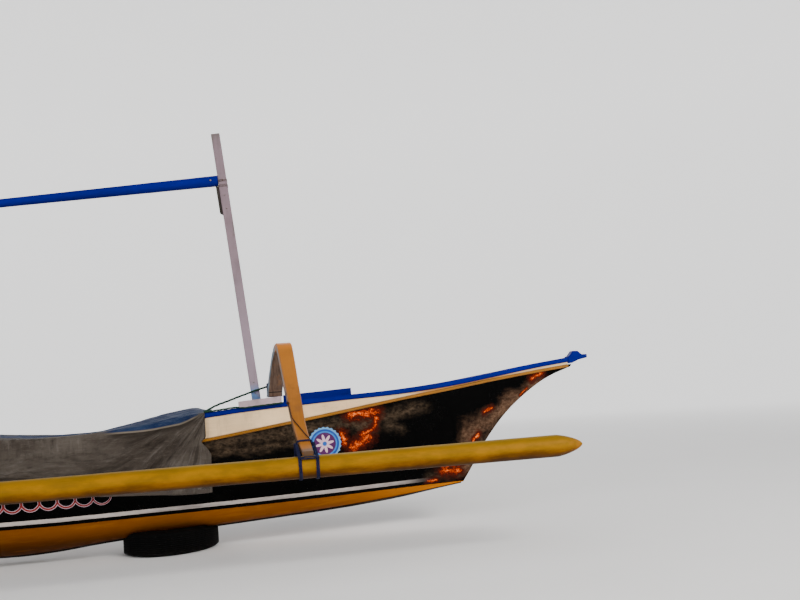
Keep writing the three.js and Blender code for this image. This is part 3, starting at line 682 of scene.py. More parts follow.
def sheet_finish():
    """Grey-brown woven plastic, blue on top. Its wrinkles fan out from the fore corner, as bumps with painted
    shade and highlight, and a rolled edge near that corner has a painted highlight with a painted shadow under it.
    """
    f = Finish("tarp_weave", 0.7, gloss=0.1)
    threads = []
    for direction in ("X", "Z"):
        weave = f.node("TexWave", Vector=f.where, Scale=105, Distortion=0.6)
        weave.bands_direction = direction
        threads.append(weave.outputs["Fac"])
    thread = f.times(*threads)
    stain = f.noise(0.28, (0.6, 1, 1), detail=7, rough=0.65, seed=61)
    grey = f.layer(tone(54, 47, 41), tone(80, 73, 66), stain, 0.34, 0.68)
    blotch = f.noise(0.07, (0.5, 1, 1), detail=6, rough=0.7, seed=62)
    grey = f.layer(grey, tone(46, 38, 31), blotch, 0.48, 0.72, 0.5)
    slub = f.noise(0.012, (0.18, 1, 1), detail=5, rough=0.75, seed=64)
    grey = f.layer(grey, tone(98, 90, 83), slub, 0.5, 0.7, 0.3)

    u, v = f.minus(0.9, f.x), f.minus(0.86, f.z)
    reach = f.length(u, v)
    polar = f.node("CombineXYZ", X=f.calc("ARCTAN2", v, u), Y=f.times(reach, 0.4)).outputs[0]
    fan = f.node("TexNoise", Vector=polar, Scale=9, Detail=5, Roughness=0.6, Distortion=0.5)
    long_folds = f.noise(0.055, (0.16, 1, 1), detail=6, rough=0.6, seed=63, warp=0.7)
    hanging = f.noise(0.05, (1, 1, 0.15), detail=4, rough=0.6, seed=66)
    near = f.mask(reach, 0.95, 0.4)
    fold = f.scale(near, f.minus(fan.outputs["Fac"], long_folds), long_folds)
    upper = f.times(f.mask(f.z, 0.62, 0.69), f.mask(f.x, 0.35, 0.05))
    fold = f.scale(upper, f.times(f.minus(hanging, fold), 0.8), fold)
    # Painted shade in the fold valleys (this line) and painted highlight on the fold ridges (next line).
    grey = f.layer(grey, tone(34, 28, 22), fold, 0.5, 0.34, 0.7)
    grey = f.layer(grey, tone(106, 99, 93), fold, 0.52, 0.72, 0.5)

    blue = f.layer(tone(8, 27, 62), tone(32, 48, 76), blotch, 0.35, 0.7)
    blue = f.layer(blue, tone(86, 92, 104), slub, 0.5, 0.7, 0.3)
    rim = f.scale(f.mask(f.x, -0.25, 0.45), 0.1, 0.215)
    edge = f.scale(f.minus(stain, 0.5), 0.07, f.absolute(f.y))
    rolled = f.times(f.mask(f.x, 0.2, 0.6), f.mask(f.x, 0.89, 0.72))
    cap = f.scale(f.x, 0.125, 0.741)
    below = f.scale(rolled, -0.034, f.minus(cap, f.z))
    near_roll = f.mask(rolled, 0.0, 0.5)
    # Painted shadow in a band under the rolled edge near the fore corner.
    grey = f.mix(f.times(f.mask(below, 0.055, 0.02), near_roll, 0.75), grey, tone(28, 22, 15))
    # Painted highlight: a pale line along the rolled edge.
    grey = f.mix(f.times(f.mask(below, 0.014, 0.008), near_roll, 0.85), grey, tone(112, 102, 90))
    colour = f.layer(grey, blue, f.minus(edge, rim), 0.012, -0.012)
    colour = f.mix(f.times(f.mask(below, 0.004, -0.002), f.mask(rolled, 0.0, 0.3)), colour, blue)
    colour = f.mix(f.times(thread, 0.25), colour, tone(30, 27, 25))
    f.bump(thread, 0.0006, 0.5)
    f.bump(fold, 0.035, 0.8)
    f.bump(f.noise(0.02, (1, 1, 0.5), detail=5, rough=0.7, seed=65), 0.002, 0.4)
    return f.finish(colour, f.scale(stain, 0.25, 0.5))


def rosette_finish(centre):
    """Rings and petals by polar position on the hull's side."""
    f = Finish("rosette_paint", 0.45)
    u = f.minus(f.x, centre[0])
    v = f.minus(f.z, centre[1])
    radius = f.length(u, v)
    petal = f.calc("SINE", f.times(f.calc("ARCTAN2", v, u), 8.0))
    flower = f.scale(petal, 0.017, 0.042)
    rings = f.layer(tone(96, 150, 196), tone(16, 62, 142), radius, 0.093, 0.089)
    rings = f.layer(rings, tone(44, 118, 190), radius, 0.080, 0.077)
    colour = f.layer(rings, tone(70, 16, 74), radius, 0.071, 0.069)
    colour = f.layer(colour, tone(206, 172, 184), f.minus(flower, radius), -0.001, 0.001)
    colour = f.layer(colour, tone(30, 84, 160), radius, 0.015, 0.013)
    mottle = f.noise(0.02, detail=6, rough=0.7, seed=71)
    colour = f.layer(colour, tone(104, 96, 120), mottle, 0.55, 0.7, 0.3)
    worn = f.patches(0.66, 0.7, 0.012, detail=6, rough=0.8, seed=72)
    f.bump(mottle, 0.0005, 0.5)
    return f.finish(f.mix(worn, colour, SOOT), f.scale(mottle, 0.3, 0.3))


ROSETTE = (1.6, 0.6)
ROSETTE_RADIUS = 0.1
PAINTS = {
    "black_hull": hull_paint(),
    "dark_wood": wood("dark_wood", DARK_WOOD, seed=3),
    "cream_paint": strake_paint(),
    "yellow_paint": paint("yellow_paint", OCHRE, seed=82, roughness=0.4, dirt=0.35),
    "blue_paint": paint("blue_paint", ROYAL, seed=83, roughness=0.42, gloss=0.05, fade=1.3,
                        under=tone(60, 60, 74), dirt=0.15),
    "orange_paint": arm_paint(),
    "white_paint": paint("white_paint", CHALK, seed=84, dirt=0.4, under=tone(90, 80, 74)),
    "navy_paint": paint("navy_paint", NAVY, (1, 0.06, 1), seed=85, fade=1.5),
    "lilac_paint": post_paint(),
    "float_paint": float_paint(),
    "bare_wood": wood("bare_wood", WOOD, seed=86),
    "lashing_rope": rope_fibre("lashing_rope", ROPE_BLUE, seed=87),
    "tarp_sheet": sheet_finish(),
    "tyre_rubber": rubber_finish(),
}
INSIDE = wood("inside_wood", tone(78, 64, 52), seed=88)
WIRE = metal("wire", STEEL, seed=90)
GREEN_ROPE = rope_fibre("green_rope", tone(10, 46, 31), seed=91)
BROWN_CORD = rope_fibre("brown_cord", tone(40, 22, 14), seed=92)
ROSETTE_PAINT = rosette_finish(ROSETTE)
SCROLL_WHITE = paint("scroll_white", tone(196, 170, 180), seed=93, under=SOOT, chips=0.62)
SCROLL_RED = paint("scroll_red", tone(120, 20, 16), seed=94, under=SOOT, chips=0.62)
HEM = paint("tarp_hem", tone(58, 50, 44), seed=95, under=tone(48, 42, 38), dirt=0.6)


# Hull and its planks
def hull_log():
    samples = 16
    heel = STEM[0][0]
    breaks = (CAVITY_END, CAVITY_END + 0.002, heel - 0.003, heel, heel + 0.004)
    marks = [sign * distance for sign in (-1, 1) for distance in breaks]
    xs = sorted([*stations(-HULL_END, HULL_END), *marks])
    rings = []
    for x in xs:
        keel, top, beam = keel_z(x), log_top_z(x), half_beam(x)
        outer = [(STEM_HALF * 0.6, keel)]
        for i in range(1, samples + 1):
            t = (i / samples) ** 2
            outer.append((max(log_half(x, t, beam), STEM_HALF), lerp(keel, top, t)))
        inner = []
        within = max(beam - WALL, 0.004)
        for i in range(samples, 0, -1):
            t = (i / samples) ** 2
            if abs(x) <= CAVITY_END:
                inner.append((log_half(x, t, within), lerp(keel + BOTTOM, top, t)))
            else:
                inner.append((within * i / samples, top - 0.001))
        half = outer + inner
        uneven = 0.0012 * wobble((x, 0, 0), 0.3, 2)
        rings.append([(x, y + uneven if y > 0.05 else y, z) for y, z in half]
                     + [(x, -y - uneven if y > 0.05 else -y, z) for y, z in reversed(half)])
    hull = piece("hull", *skin(rings), "black_hull", sharp=40)
    hull.data.materials.append(INSIDE)
    count = len(rings[0])
    for polygon in hull.data.polygons:
        k = polygon.index % count
        if polygon.index < count * (len(rings) - 1) and samples <= k < count - samples - 1:
            polygon.material_index = 1
    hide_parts("hull_log")


def planks():
    def low(x):
        return keel_z(x) - GAP - lerp(0.014, 0.005, smoothstep(abs(x), 1.93, BATTEN_END))

    batten = plank("keel_strip", -BATTEN_END, BATTEN_END, lambda x: [
        (0.017, low(x)), (0.0082, keel_z(x) - GAP), (-0.0082, keel_z(x) - GAP), (-0.017, low(x)),
    ], "dark_wood")
    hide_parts("keel_batten")
    for side, sign in SIDES:
        def strake(x):
            out = half_beam(x)
            low, high = log_top_z(x) + GAP, cap_top_z(x) - CAP_THICK - GAP
            return [(sign * out, low), (sign * out, high), (sign * (out - STRAKE_THICK), high),
                    (sign * (out - STRAKE_THICK), low)]

        def rail(x):
            near = half_beam(x) + GAP
            high = log_top_z(x)
            return [(sign * near, high - 0.019), (sign * (near + 0.012), high - 0.016),
                    (sign * (near + 0.012), high - 0.003), (sign * near, high)]

        def cap(x):
            out = half_beam(x) + CAP_OUT
            inner = max(out - CAP_WIDTH, 0.001)
            high = cap_top_z(x)
            return [(sign * inner, high - CAP_THICK), (sign * out, high - CAP_THICK), (sign * out, high),
                    (sign * inner, high)]

        for name, solid, section, slot, cut in (("strake", "wash_strake", strake, "cream_paint", 0.002),
                                                ("rail", "rub_rail", rail, "yellow_paint", 0.003),
                                                ("cap", "gunwale_cap", cap, "blue_paint", 0.006)):
            node = f"{solid}_{side}"
            made = plank(f"{name}_{side}", -PLANK_END, PLANK_END, section, slot, cut, seed=sign + 3)
            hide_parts(node)


def boarded(name, node, start, end, half_at, top_at, thick, shares, cut=0.004):
    """Level boards side by side, as one piece with a groove at each seam."""
    groove = 0.0018
    rings = []
    for x in stations(start, end):
        half, top = half_at(x), top_at(x)
        ring = [(x, -half, top - thick), (x, -half, top - cut), (x, -half + cut, top)]
        for share in shares:
            seam = share * half
            drop = top + 0.0006 * wobble((x, share, 0), 0.2, 4)
            ring += [(x, seam - groove, drop), (x, seam, top - 0.004), (x, seam + groove, drop)]
        ring += [(x, half - cut, top), (x, half, top - cut), (x, half, top - thick)]
        rings.append(ring)
    made = piece(name, *skin(rings), "blue_paint", sharp=25)
    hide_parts(node)


def decks():
    def half(x):
        return max(half_beam(x) + CAP_OUT - CAP_WIDTH - GAP, 0.008)

    seams = (-0.6, -0.2, 0.2, 0.6)
    boarded("foredeck_boards", "foredeck", 1.06, 3.015, half, deck_top_z, DECK_THICK, seams)
    boarded("bridge_boards", "bridge_deck", -1.39, -1.06, half, deck_top_z, DECK_THICK, seams)
    boarded("afterdeck_boards", "afterdeck", -3.015, -2.18, half, deck_top_z, DECK_THICK, seams)
    boarded("hatch_boards", "hatch_board", 1.362, 1.793, lambda x: 0.2,
            lambda x: deck_top_z(x) + GAP + 0.046, 0.046, (-0.34, 0.34), cut=0.007)


SCROLL_SPAN = (-0.72, 0.30)
SCROLL_Z = 0.375
SCROLL_HALF = 0.026
SCROLL_WAVES = 10
SCROLL_STEPS = 240


def ornament_point(sign, x, z, proud):
    return (x, sign * (hull_y(x, z) + proud), z)


def ornaments():
    """A round flower on the bow and a running scroll amidships, painted on both sides."""
    teeth = 24
    for side, sign in SIDES:
        rings = []
        for share in (0, 0.25, 0.5, 0.75, 0.93, 1):
            ring = []
            for k, (c, s) in enumerate(circle(teeth * 4)):
                tooth = 1 + (0.05 * (k % 4 < 2) if share == 1 else 0)
                reach = ROSETTE_RADIUS * max(share * tooth, 0.01)
                ring.append(ornament_point(sign, ROSETTE[0] + reach * c, ROSETTE[1] + reach * s, 0.0008))
            rings.append(ring)
        piece(f"rosette_{side}", *skin(rings, caps=False), "black_hull", ROSETTE_PAINT, sharp=180)
        for layer, half, proud, material in (("edge", 0.0085, 0.0012, SCROLL_WHITE),
                                             ("fill", 0.0055, 0.0018, SCROLL_RED)):
            line = []
            for i in range(SCROLL_STEPS + 1):
                turn = 2 * math.pi * i / (SCROLL_STEPS / SCROLL_WAVES)
                x = lerp(*SCROLL_SPAN, i / SCROLL_STEPS) - 0.02 * math.sin(turn)
                line.append(Vector((x, 0, SCROLL_Z + 0.008 * x + SCROLL_HALF * math.cos(turn))))
            points = []
            for i, point in enumerate(line):
                ahead = (line[min(i + 1, SCROLL_STEPS)] - line[max(i - 1, 0)]).normalized()
                swell = 0.35 + 0.65 * math.sin(math.pi * i / SCROLL_STEPS) ** 0.3
                across = Vector((-ahead.z, 0, ahead.x)) * half * swell
                points += [ornament_point(sign, p.x, p.z, proud) for p in (point - across, point + across)]
            faces = [(2 * i, 2 * i + 1, 2 * i + 3, 2 * i + 2) for i in range(SCROLL_STEPS)]
            piece(f"scroll_{layer}_{side}", points, faces, "black_hull", material, sharp=180)


def dressed(node, slot, bevel=0.003):
    """The CAD solid itself, with soft edges and its paint."""
    obj = NODES[node]
    soften = obj.modifiers.new("edges", "BEVEL")
    soften.width = bevel
    soften.segments = 2
    soften.limit_method = "ANGLE"
    soften.angle_limit = math.radians(35)
    obj.data.materials.clear()
    obj.data.materials.append(PAINTS[slot])
    return obj


# Arms, floats and lashings
ARM_PATH = (
    (0.3, 0.974, 0.061), (0.388, 1.051, 0.05), (0.5, 1.136, 0.046), (0.61, 1.19, 0.046), (0.692, 1.193, 0.046),
    (0.757, 1.122, 0.046), (0.846, 0.995, 0.045), (0.94, 0.868, 0.044), (1.018, 0.768, 0.041),
    (1.1, 0.697, 0.037), (1.176, 0.648, 0.033), (1.252, 0.61, 0.029),
)
ARM_FOOT = (0.202, 0.305)
ARM_CHAMFER = 0.006
ARM_SWEEP = ((0.202, 1.298, 0.08), (0.692, 1.386, 0.087), (1.24, 1.467, 0.058))
CROWN_Y = 0.692


def swept(column, y):
    low, high = (ARM_SWEEP[0], ARM_SWEEP[1]) if y < CROWN_Y else (ARM_SWEEP[1], ARM_SWEEP[2])
    return lerp(low[column], high[column], (y - low[0]) / (high[0] - low[0]))


def arm_span(y):
    """The rows of the arm's path on both sides of y, and how far y is from the first to the second."""
    i = max(k for k, row in enumerate(ARM_PATH[:-1]) if row[0] <= y + 1e-6)
    low, high = ARM_PATH[i], ARM_PATH[i + 1]
    return low, high, min((y - low[0]) / (high[0] - low[0]), 1)


def float_radius(x):
    return FLOAT_RADIUS + 0.0008 * x


def arm(end, direction, side, sign):
    foot_z = cap_top_z(1.35) + 0.038 + 3 * GAP
    middle = spline([(0, y, z) for y, z, _ in ARM_PATH], 0.012)
    rings = []

    def ring(upper, lower):
        out = []
        cut = ARM_CHAMFER * (upper - lower).normalized()
        for point, share in ((upper - cut, -1), (upper, -0.86), (upper, 0.86), (upper - cut, 1),
                             (lower + cut, 1), (lower, 0.86), (lower, -0.86), (lower + cut, -1)):
            y, z = point.y, point.z
            half = swept(2, y) / 2
            reach = Vector((y - FLOAT_Y, z - FLOAT_Z))
            room = float_radius(direction * ARM_SWEEP[2][1]) + GAP
            if y > 1.1 and reach.length < room:
                y, z = FLOAT_Y + reach.x * room / reach.length, FLOAT_Z + reach.y * room / reach.length
            uneven = 0.0012 * wobble((y, z, share), 0.12, 5)
            out.append((direction * swept(1, y) + share * half + uneven, sign * y, z))
        return out

    rings.append(ring(Vector((0, ARM_FOOT[0], foot_z)), Vector((0, ARM_FOOT[1], foot_z))))
    for i, point in enumerate(middle):
        ahead = (middle[min(i + 1, len(middle) - 1)] - middle[max(i - 1, 0)]).normalized()
        out = Vector((0, -ahead.z, ahead.y))
        low, high, t = arm_span(point.y)
        half = lerp(low[2], high[2], t) / 2
        rings.append(ring(point + out * half, point - out * half))
    made = piece(f"{end}_arch_{side}", *skin(rings), "orange_paint", sharp=30)
    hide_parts(f"{end}_arm_{side}")


def float_pole(side, sign):
    aft, fore, nose = -2.6, 2.926, 0.145
    profile = [(aft, 0.004), (aft, float_radius(aft) - 0.006), (aft + 0.006, float_radius(aft))]
    profile += [(x, float_radius(x)) for x in stations(aft + 0.05, fore - nose, 0.05)]
    profile += [(fore - nose + nose * t, float_radius(fore - nose) * (1 - t ** 1.3) ** 0.6)
                for t in (0.05, 0.1, 0.2, 0.3, 0.4, 0.5, 0.6, 0.7, 0.78, 0.86, 0.92, 0.96, 0.985, 0.998)]
    rings = dented(profile, 36, lambda x: (sign * FLOAT_Y, FLOAT_Z), 0.02, 0.1, 0.22, sign + 6)
    made = piece(f"float_pole_{side}", *skin(rings), "float_paint", sharp=50)
    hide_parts(f"float_{side}")


def belt(a, b):
    """Points round two circles of (y, z, radius), as a rope runs round both."""
    count = 26
    (ay, az, ar), (by, bz, br) = a, b
    to_b = math.atan2(bz - az, by - ay)
    spread = math.acos((ar - br) / math.hypot(by - ay, bz - az))
    points = []
    for y, z, r, start, stop, n in ((ay, az, ar, to_b + spread, to_b + 2 * math.pi - spread, count),
                                    (by, bz, br, to_b - spread, to_b + spread, count // 2)):
        points += [(y + r * math.cos(lerp(start, stop, i / n)), z + r * math.sin(lerp(start, stop, i / n)))
                   for i in range(n + 1)]
    return points


def lashing(end, direction, side, sign):
    """Turns of rope round arm and float on both sides of the arm, and turns that pull them together."""
    thin = 0.0031
    float_r = float_radius(direction * ARM_SWEEP[2][1])
    loop = belt((FLOAT_Y, FLOAT_Z, float_r + thin + 0.0012), (1.168, 0.647, 0.011 + thin))
    turns = 3
    parts = []
    for hand in (-1, 1):
        path = []
        for i in range(turns * len(loop) + 1):
            y, z = loop[i % len(loop)]
            offset = hand * (0.0326 + thin + (1.8 * thin) * i / len(loop))
            path.append(Vector((direction * swept(1, min(y, 1.262)) + offset, sign * y, z)))
        parts.append(rope_turn(path, thin))
    for y, z, tilt, deep, reach in ((1.164, 0.656, 0.53, 0.022, 0.041), (1.290, 0.592, 0.2, 0.0045, 0.041)):
        for turn in (-0.5, 0.5):
            path = []
            for k in range(29):
                a = 2 * math.pi * k / 28
                across = reach * math.copysign(abs(math.cos(a)) ** 0.45, math.cos(a))
                out = deep * math.copysign(abs(math.sin(a)) ** 0.6, math.sin(a))
                up = turn * 2.1 * thin
                py = y + out * math.sin(tilt) + up * math.cos(tilt)
                path.append(Vector((direction * swept(1, py) + across, sign * py,
                                    z + out * math.cos(tilt) - up * math.sin(tilt))))
            parts.append(rope_turn(path, thin))
    made = piece(f"{end}_rope_{side}", *merged(parts), "lashing_rope", sharp=180)
    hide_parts(f"{end}_lashing_{side}")


def outriggers():
    for side, sign in SIDES:
        float_pole(side, sign)
        for end, direction in ENDS:
            arm(end, direction, side, sign)
            lashing(end, direction, side, sign)
            dressed(f"{end}_pad_{side}", "white_paint", 0.005)
    for end, direction in ENDS:
        dressed(f"{end}_cross_beam", "navy_paint", 0.004)


# Post, ridge pole and crutch
POST_FOOT = (1.192, 0.87)
POST_TOP = (1.033, 2.673)
POST_HALF = (0.028, 0.025)
POLE_AFT = -1.47
POLE_FORE = 1.031
POLE_Z = 2.362
POLE_SLOPE = 0.066


def post_x(z):
    return lerp(POST_FOOT[0], POST_TOP[0], (z - POST_FOOT[1]) / (POST_TOP[1] - POST_FOOT[1]))


def pole_z(x):
    return POLE_Z + POLE_SLOPE * (x - POLE_FORE)


def ridge_pole():
    def radius(x):
        knuckle = min(abs((x + 0.1) % 0.47 - 0.235), 0.05) / 0.05
        return (0.037 + 0.0066 * (x - POLE_FORE)) * (0.975 + 0.02 * (1 - knuckle) ** 2)

    profile = [(x, radius(x)) for x in stations(POLE_AFT, POLE_FORE, 0.035)]
    rings = dented(profile, 28, lambda x: (0, pole_z(x)), 0.025, 0.05, 0.1, 9)
    made = piece("pole", *skin(rings), "blue_paint", sharp=50)
    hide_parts("ridge_pole")


def round_post(z, grow):
    """Corner points of a wire round the post at a height."""
    hx, hy = POST_HALF[0] + grow, POST_HALF[1] + grow
    return [(post_x(z) + sx * hx, sy * hy, z + 0.088 * sx * hx) for sx, sy in
            ((-1, -1), (0, -1), (1, -1), (1, 0), (1, 1), (0, 1), (-1, 1), (-1, 0), (-1, -1))]


def rig():
    dressed("fore_post", "lilac_paint", 0.004)
    dressed("pole_chock", "dark_wood", 0.003)
    dressed("aft_crutch", "lilac_paint", 0.004)
    ridge_pole()
    wire = 0.0014
    turns = []
    for z in (2.318, 2.324, 2.331, 2.353, 2.359, 2.365):
        turns.append(tube([Vector(p) for p in round_post(z, wire)], wire, sides=6))
    piece("post_wire", *merged(turns), "dark_wood", WIRE, sharp=180)
    nails = [dome((post_x(z), -POST_HALF[1], z), (0, -1, 0), 0.0045, 0.003)
             for z in (2.17, 2.26, 2.36, 1.02, 0.95)]
    nails.append(dome((POLE_FORE - 0.046, -0.0365, pole_z(POLE_FORE - 0.046)), (0, -1, 0.1), 0.007, 0.004))
    piece("post_nails", *merged(nails), "dark_wood", WIRE, sharp=50)

    seat = pole_z(-1.14)
    turns = []
    for k in range(4):
        x = -1.14 + (k - 1.5) * 0.0095
        path = [(x, 0.052 * math.copysign(abs(c) ** 0.7, c), seat - 0.012 + 0.044 * s)
                for c, s in (*circle(24), (1, 0))]
        turns.append(rope_turn(path, 0.0045, 0.008))
    piece("crutch_rope", *merged(turns), "lashing_rope", sharp=180)

    beam_top = cap_top_z(2.132) + GAP + 0.062
    bolts = [dome((-2.09, y, beam_top), (0, 0, 1), radius, rise)
             for y in (-0.2, 0.2) for radius, rise in ((0.017, 0.002), (0.009, 0.008))]
    piece("rudder_beam_bolts", *merged(bolts), "dark_wood", WIRE, sharp=50)


# Tyres, dented by the keel
def tyre(name, node, centre):
    profile = [(0.172, 0.024), (0.180, 0.006), (0.204, 0.001), (0.232, 0.0025), (0.262, 0.001), (0.281, 0.009)]
    height = 0.018
    while height < 0.132:
        profile += [(0.2935, height), (0.2935, height + 0.006), (0.2895, height + 0.0075),
                    (0.2895, height + 0.0105)]
        height += 0.012
    profile += [(0.281, 0.141), (0.262, 0.149), (0.247, 0.1475), (0.232, 0.1485), (0.217, 0.147), (0.204, 0.149),
                (0.180, 0.144), (0.172, 0.126), (0.187, 0.132), (0.206, 0.136), (0.258, 0.135), (0.277, 0.106),
                (0.277, 0.044), (0.258, 0.015), (0.206, 0.014), (0.187, 0.018)]
    rings = []
    for k, (c, s) in enumerate(circle(96)):
        ring = []
        for radius, z in profile:
            lug = 0.0022 if radius > 0.29 and k % 4 == 0 else 0
            x, y = centre + (radius - lug) * c, (radius - lug) * s
            room = hull_floor(x, abs(y)) - 0.0015
            ring.append((x, y, z * min(1, room / 0.15)))
        rings.append(ring)
    made = piece(name, *skin(rings, closed=True), "tyre_rubber", sharp=30)
    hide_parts(node)


def hull_floor(x, y):
    """Height of the hull's underside over a point of the floor."""
    keel, top, beam = keel_z(x), log_top_z(x), half_beam(x)
    if y < 0.019:
        return keel - 0.0144
    if y >= beam:
        return top
    power = log_power(x)
    t = 1 - (1 - (y / beam) ** power) ** (1 / power)
    return keel + (top - keel) * t


# Sheet over the cockpit
SHEET_AFT = -0.93
SHEET_FORE = 0.884
# The fore edge where it hangs at the side. Columns: height, distance
SHEET_EDGE = (
    (0.378, 0.904), (0.530, 0.907), (0.600, 0.909), (0.641, 0.884), (0.678, 0.851), (0.698, SHEET_FORE),
    (0.90, SHEET_FORE),
)
SHEET_HEM = 0.369
SHEET_OUT = 0.3315
SHEET_SIDE = 0.44
# Radius of the sheet's bend over the caps, and how far it puffs out there
BEND = 0.02
PUFF = 1.27


def sheet_edge_x(z):
    for (z0, x0), (z1, x1) in zip(SHEET_EDGE, SHEET_EDGE[1:]):
        if z <= z1:
            return lerp(x0, x1, max((z - z0) / (z1 - z0), 0))
    return SHEET_EDGE[-1][1]


def crease(value):
    """Rounded ridge line from smooth noise."""
    return 1 - min(abs(value) * 3.2, 1)


def sheet_point(u, v, top_half):
    """Place on the sheet. u is 0 at the aft edge and 1 at the fore edge, v -1 and 1 at the two hems."""
    run = abs(v) * (top_half + SHEET_SIDE)
    sign = -1 if v < 0 else 1
    x = lerp(SHEET_AFT, SHEET_FORE, u)
    rim = cap_top_z(x) + 0.004
    if run <= top_half - BEND:
        y, z = run, rim
        share = run / top_half
        load = smoothstep(x, 0.1, 0.62) * (1 - smoothstep(x, 0.78, 0.88) * 0.6)
        rise = (0.052 * load - 0.012 + 0.008 * wobble((x, y, 0), 0.3, 21)) * (1 - share ** 2.4) ** 1.2
        z += rise if rise > 0 else rise * (1 - smoothstep(run, 0.17, 0.24))
        z += 0.006 * crease(wobble((x * 0.6, y * 1.6, 0), 0.1, 22)) * (1 - share ** 4)
        return Vector((x, sign * y, z))
    if run < top_half + BEND:
        a = (run - top_half + BEND) / (2 * BEND) * math.pi / 2
        y, z = top_half - BEND + BEND * PUFF * math.sin(a), rim - BEND * PUFF * (1 - math.cos(a))
    else:
        y, z = top_half + BEND * (PUFF - 1), rim - BEND * PUFF - (run - top_half - BEND)
    floor_z = SHEET_HEM + 0.048 * smoothstep(0.8 - x, 0, 0.85) + 0.004 * wobble((x, 0, 0), 0.3, 23)
    total = rim - BEND * PUFF - (SHEET_SIDE - BEND)
    if z < rim - BEND:
        z = lerp(rim - BEND, floor_z, (rim - BEND - z) / (rim - BEND - total))
    x = lerp(SHEET_AFT, sheet_edge_x(z), u)
    drop = smoothstep(rim - z, 0.01, 0.12)
    corner = Vector((0.87 - x, rim - z))
    angle, reach = math.atan2(corner.y, max(corner.x, 0.001)), corner.length
    fan = crease(wobble((angle * 0.30, reach * 0.12, sign), 0.075, 24)) * smoothstep(reach, 0.03, 0.2)
    fan *= 1 - smoothstep(reach, 0.55, 1.0)
    sag = crease(wobble((x * 0.35, z * 1.1, sign), 0.1, 25)) * smoothstep(reach, 0.3, 0.7)
    hang = wobble((x, z * 0.12, sign), 0.09, 26)
    ruffle = 0.022 * fan + 0.014 * sag + 0.004 * hang + 0.003 * wobble((x, z, sign), 0.035, 27)
    return Vector((x, sign * (y + drop * max(ruffle + 0.002, 0.0)), z))


def sheet():
    top_half = SHEET_OUT + 0.004
    across, lengthwise = 150, 170
    points = [sheet_point(i / lengthwise, 2 * j / across - 1, top_half)
              for i in range(lengthwise + 1) for j in range(across + 1)]
    row = across + 1
    faces = [(i * row + j, i * row + j + 1, (i + 1) * row + j + 1, (i + 1) * row + j)
             for i in range(lengthwise) for j in range(across)]
    cloth = piece("tarp_cloth", points, faces, "tarp_sheet", sharp=180)
    thick = cloth.modifiers.new("thickness", "SOLIDIFY")
    thick.thickness = 0.0012
    thick.offset = 0
    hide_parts("tarpaulin")
    for side, sign in SIDES:
        path = [Vector(points[i * row + (0 if sign < 0 else across)]) for i in range(0, lengthwise + 1, 3)]
        flat = [[p + Vector((0, sign * out, up)) for out, up in (
            (0.0022, 0), (0.0022, 0.026), (-0.0022, 0.026), (-0.0022, -0.002))] for p in path]
        hem = piece(f"tarp_hem_{side}", *skin(flat), "tarp_sheet", HEM, sharp=60)


def arm_face(y, across, lift):
    """Place on the upper face of the starboard fore arm. Across is -1 at its aft edge, 1 at its fore edge."""
    (y0, z0, thick0), (y1, z1, thick1), t = arm_span(y)
    out = Vector((0, z0 - z1, y1 - y0)).normalized() * (lerp(thick0, thick1, t) / 2 + lift)
    return Vector((swept(1, y) + across * swept(2, y) / 2, -(y + out.y), lerp(z0, z1, t) + out.z))


def lines():
    """Ropes that hold the sheet's corner, and the cord that crosses the arm. All are taut."""
    knot = (0.882, -0.334, cap_top_z(0.88) + 0.008)
    rope("corner_rope", [knot, (0.95, -0.25, 0.889), (1.02, -0.17, 0.912), (1.08, -0.11, 0.933),
                         (1.14, -0.06, 0.952), (1.19, -0.034, 0.968), (1.24, -0.05, 0.98),
                         (1.285, -0.18, 0.99), (1.30, -0.264, 0.988)],
         0.007, GREEN_ROPE)
    edge = [knot]
    for x in (0.93, 1.0, 1.07):
        edge.append((x, -0.330 + 0.004 * wobble((x, 0, 0), 0.1), cap_top_z(x) + 0.0055))
    for x in (1.12, 1.18, 1.24, 1.3, 1.36):
        edge.append((x, -0.3335, cap_top_z(x) - 0.004))
    rope("edge_rope", edge, 0.0055, GREEN_ROPE)

    cord = 0.0028
    path = [arm_face(y, across, lift) for y, across, lift in (
        (0.93, -1.1, -0.03), (0.938, -1.1, -0.012), (0.95, -1.05, cord), (0.975, -0.97, cord), (1.01, -0.86, cord),
        (1.06, -0.2, cord), (1.11, 0.45, cord), (1.148, 0.96, cord), (1.16, 1.09, -0.004), (1.166, 1.1, -0.02))]
    rope("arm_cord", path, cord, BROWN_CORD)
    coil = []
    for i in range(25):
        a = 2 * math.pi * i / 12
        lift = cord * 1.6 + 0.002 * i / 25
        coil.append(arm_face(0.95 + 0.004 * math.cos(a), -1.08 + 0.16 * math.sin(a), lift))
    rope("arm_cord_knot", coil, cord, BROWN_CORD)


# Camera fitted to the photograph: its place and its own directions
CAMERA_PLACE = (1.3674, -5.6332, 0.8891)
CAMERA_RIGHT = Vector((0.98809, -0.13465, -0.07447))
CAMERA_UP = Vector((0.06627, -0.06439, 0.99572))
CAMERA_AHEAD = Vector((0.13887, 0.98880, 0.05470))
PICTURE_WIDTH = 800
CENTRE_SHIFT = 45


def camera():
    data = bpy.data.cameras.new("camera")
    data.lens = 38.25
    data.sensor_width = 36
    data.shift_y = CENTRE_SHIFT / PICTURE_WIDTH
    obj = placed("camera", data)
    turn = Matrix((CAMERA_RIGHT, CAMERA_UP, -CAMERA_AHEAD)).transposed().to_4x4()
    obj.matrix_world = Matrix.Translation(CAMERA_PLACE) @ turn
    bpy.context.scene.camera = obj


def area_light(name, place, target, size, power, colour):
    data = bpy.data.lights.new(name, "AREA")
    data.shape = "DISK"
    data.size = size
    data.energy = power
    data.color = colour
    obj = placed(name, data)
    obj.location = place
    obj.rotation_euler = (Vector(target) - Vector(place)).to_track_quat("-Z", "Y").to_euler()


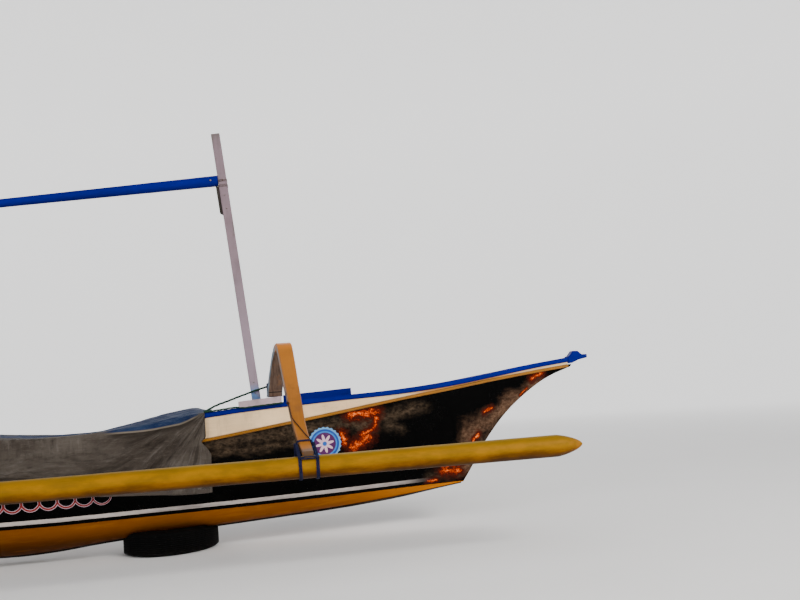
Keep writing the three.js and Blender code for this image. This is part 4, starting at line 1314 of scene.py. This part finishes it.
BACKDROP_GLOW = 0.7
FLOOR_REACH = 18
BOWL_RADIUS = 12
BOWL_TOP = 22


def studio():
    """Pale bowl: a level floor that curves up far away, so that no horizon shows."""
    profile = [(0.0, 0), (6, 0), (12, 0), (FLOOR_REACH, 0)]
    profile += [(FLOOR_REACH + BOWL_RADIUS * math.sin(a), BOWL_RADIUS * (1 - math.cos(a)))
                for a in (math.radians(d) for d in range(6, 91, 6))]
    profile.append((FLOOR_REACH + BOWL_RADIUS, BOWL_TOP))
    rings = [[(max(r, 0.001) * c, max(r, 0.001) * s, z) for c, s in circle(96)] for r, z in profile]
    points, faces = skin(rings, caps=False)
    mesh = bpy.data.meshes.new("floor")
    mesh.from_pydata(points, [], faces)
    mesh.shade_smooth()
    f = Finish("floor", 0.9, gloss=0.1)
    tint = f.mix(f.noise(1.6, detail=3, seed=96), tone(228, 227, 226), tone(234, 233, 232))
    away = f.length(f.x, f.y)
    f.shader.inputs["Emission Color"].default_value = (1, 1, 1, 1)
    f.feed(f.shader.inputs["Emission Strength"], f.times(f.mask(away, 5, 20), BACKDROP_GLOW))
    mesh.materials.append(f.finish(tint))
    floor = placed("floor", mesh)
    world = bpy.data.worlds.new("world")
    bpy.context.scene.world = world
    world.use_nodes = True
    background = world.node_tree.nodes["Background"]
    background.inputs["Color"].default_value = (0.95, 0.97, 1, 1)
    background.inputs["Strength"].default_value = 0.42
    area_light("key", (6.5, -7.5, 6), (0.8, 0, 0.6), 4, 800, (1, 0.97, 0.93))
    area_light("fill", (-6, -8, 5), (0, 0, 0.6), 5, 260, (0.95, 0.97, 1))
    area_light("rim", (2, 8, 7), (0.5, 0, 0.8), 5, 260, (0.96, 0.98, 1))


hull_log()
planks()
decks()
ornaments()
outriggers()
rig()
for node in ("bow_head", "stern_head"):
    dressed(node, "blue_paint", 0.005)
dressed("helm_thwart", "bare_wood")
dressed("rudder_beam", "white_paint", 0.005)
dressed("rudder", "white_paint")
dressed("tiller", "bare_wood", 0.006)
tyre("fore_tyre_ribbed", "fore_tyre", 0.6)
tyre("aft_tyre_ribbed", "aft_tyre", -1.3)
sheet()
lines()
studio()
camera()
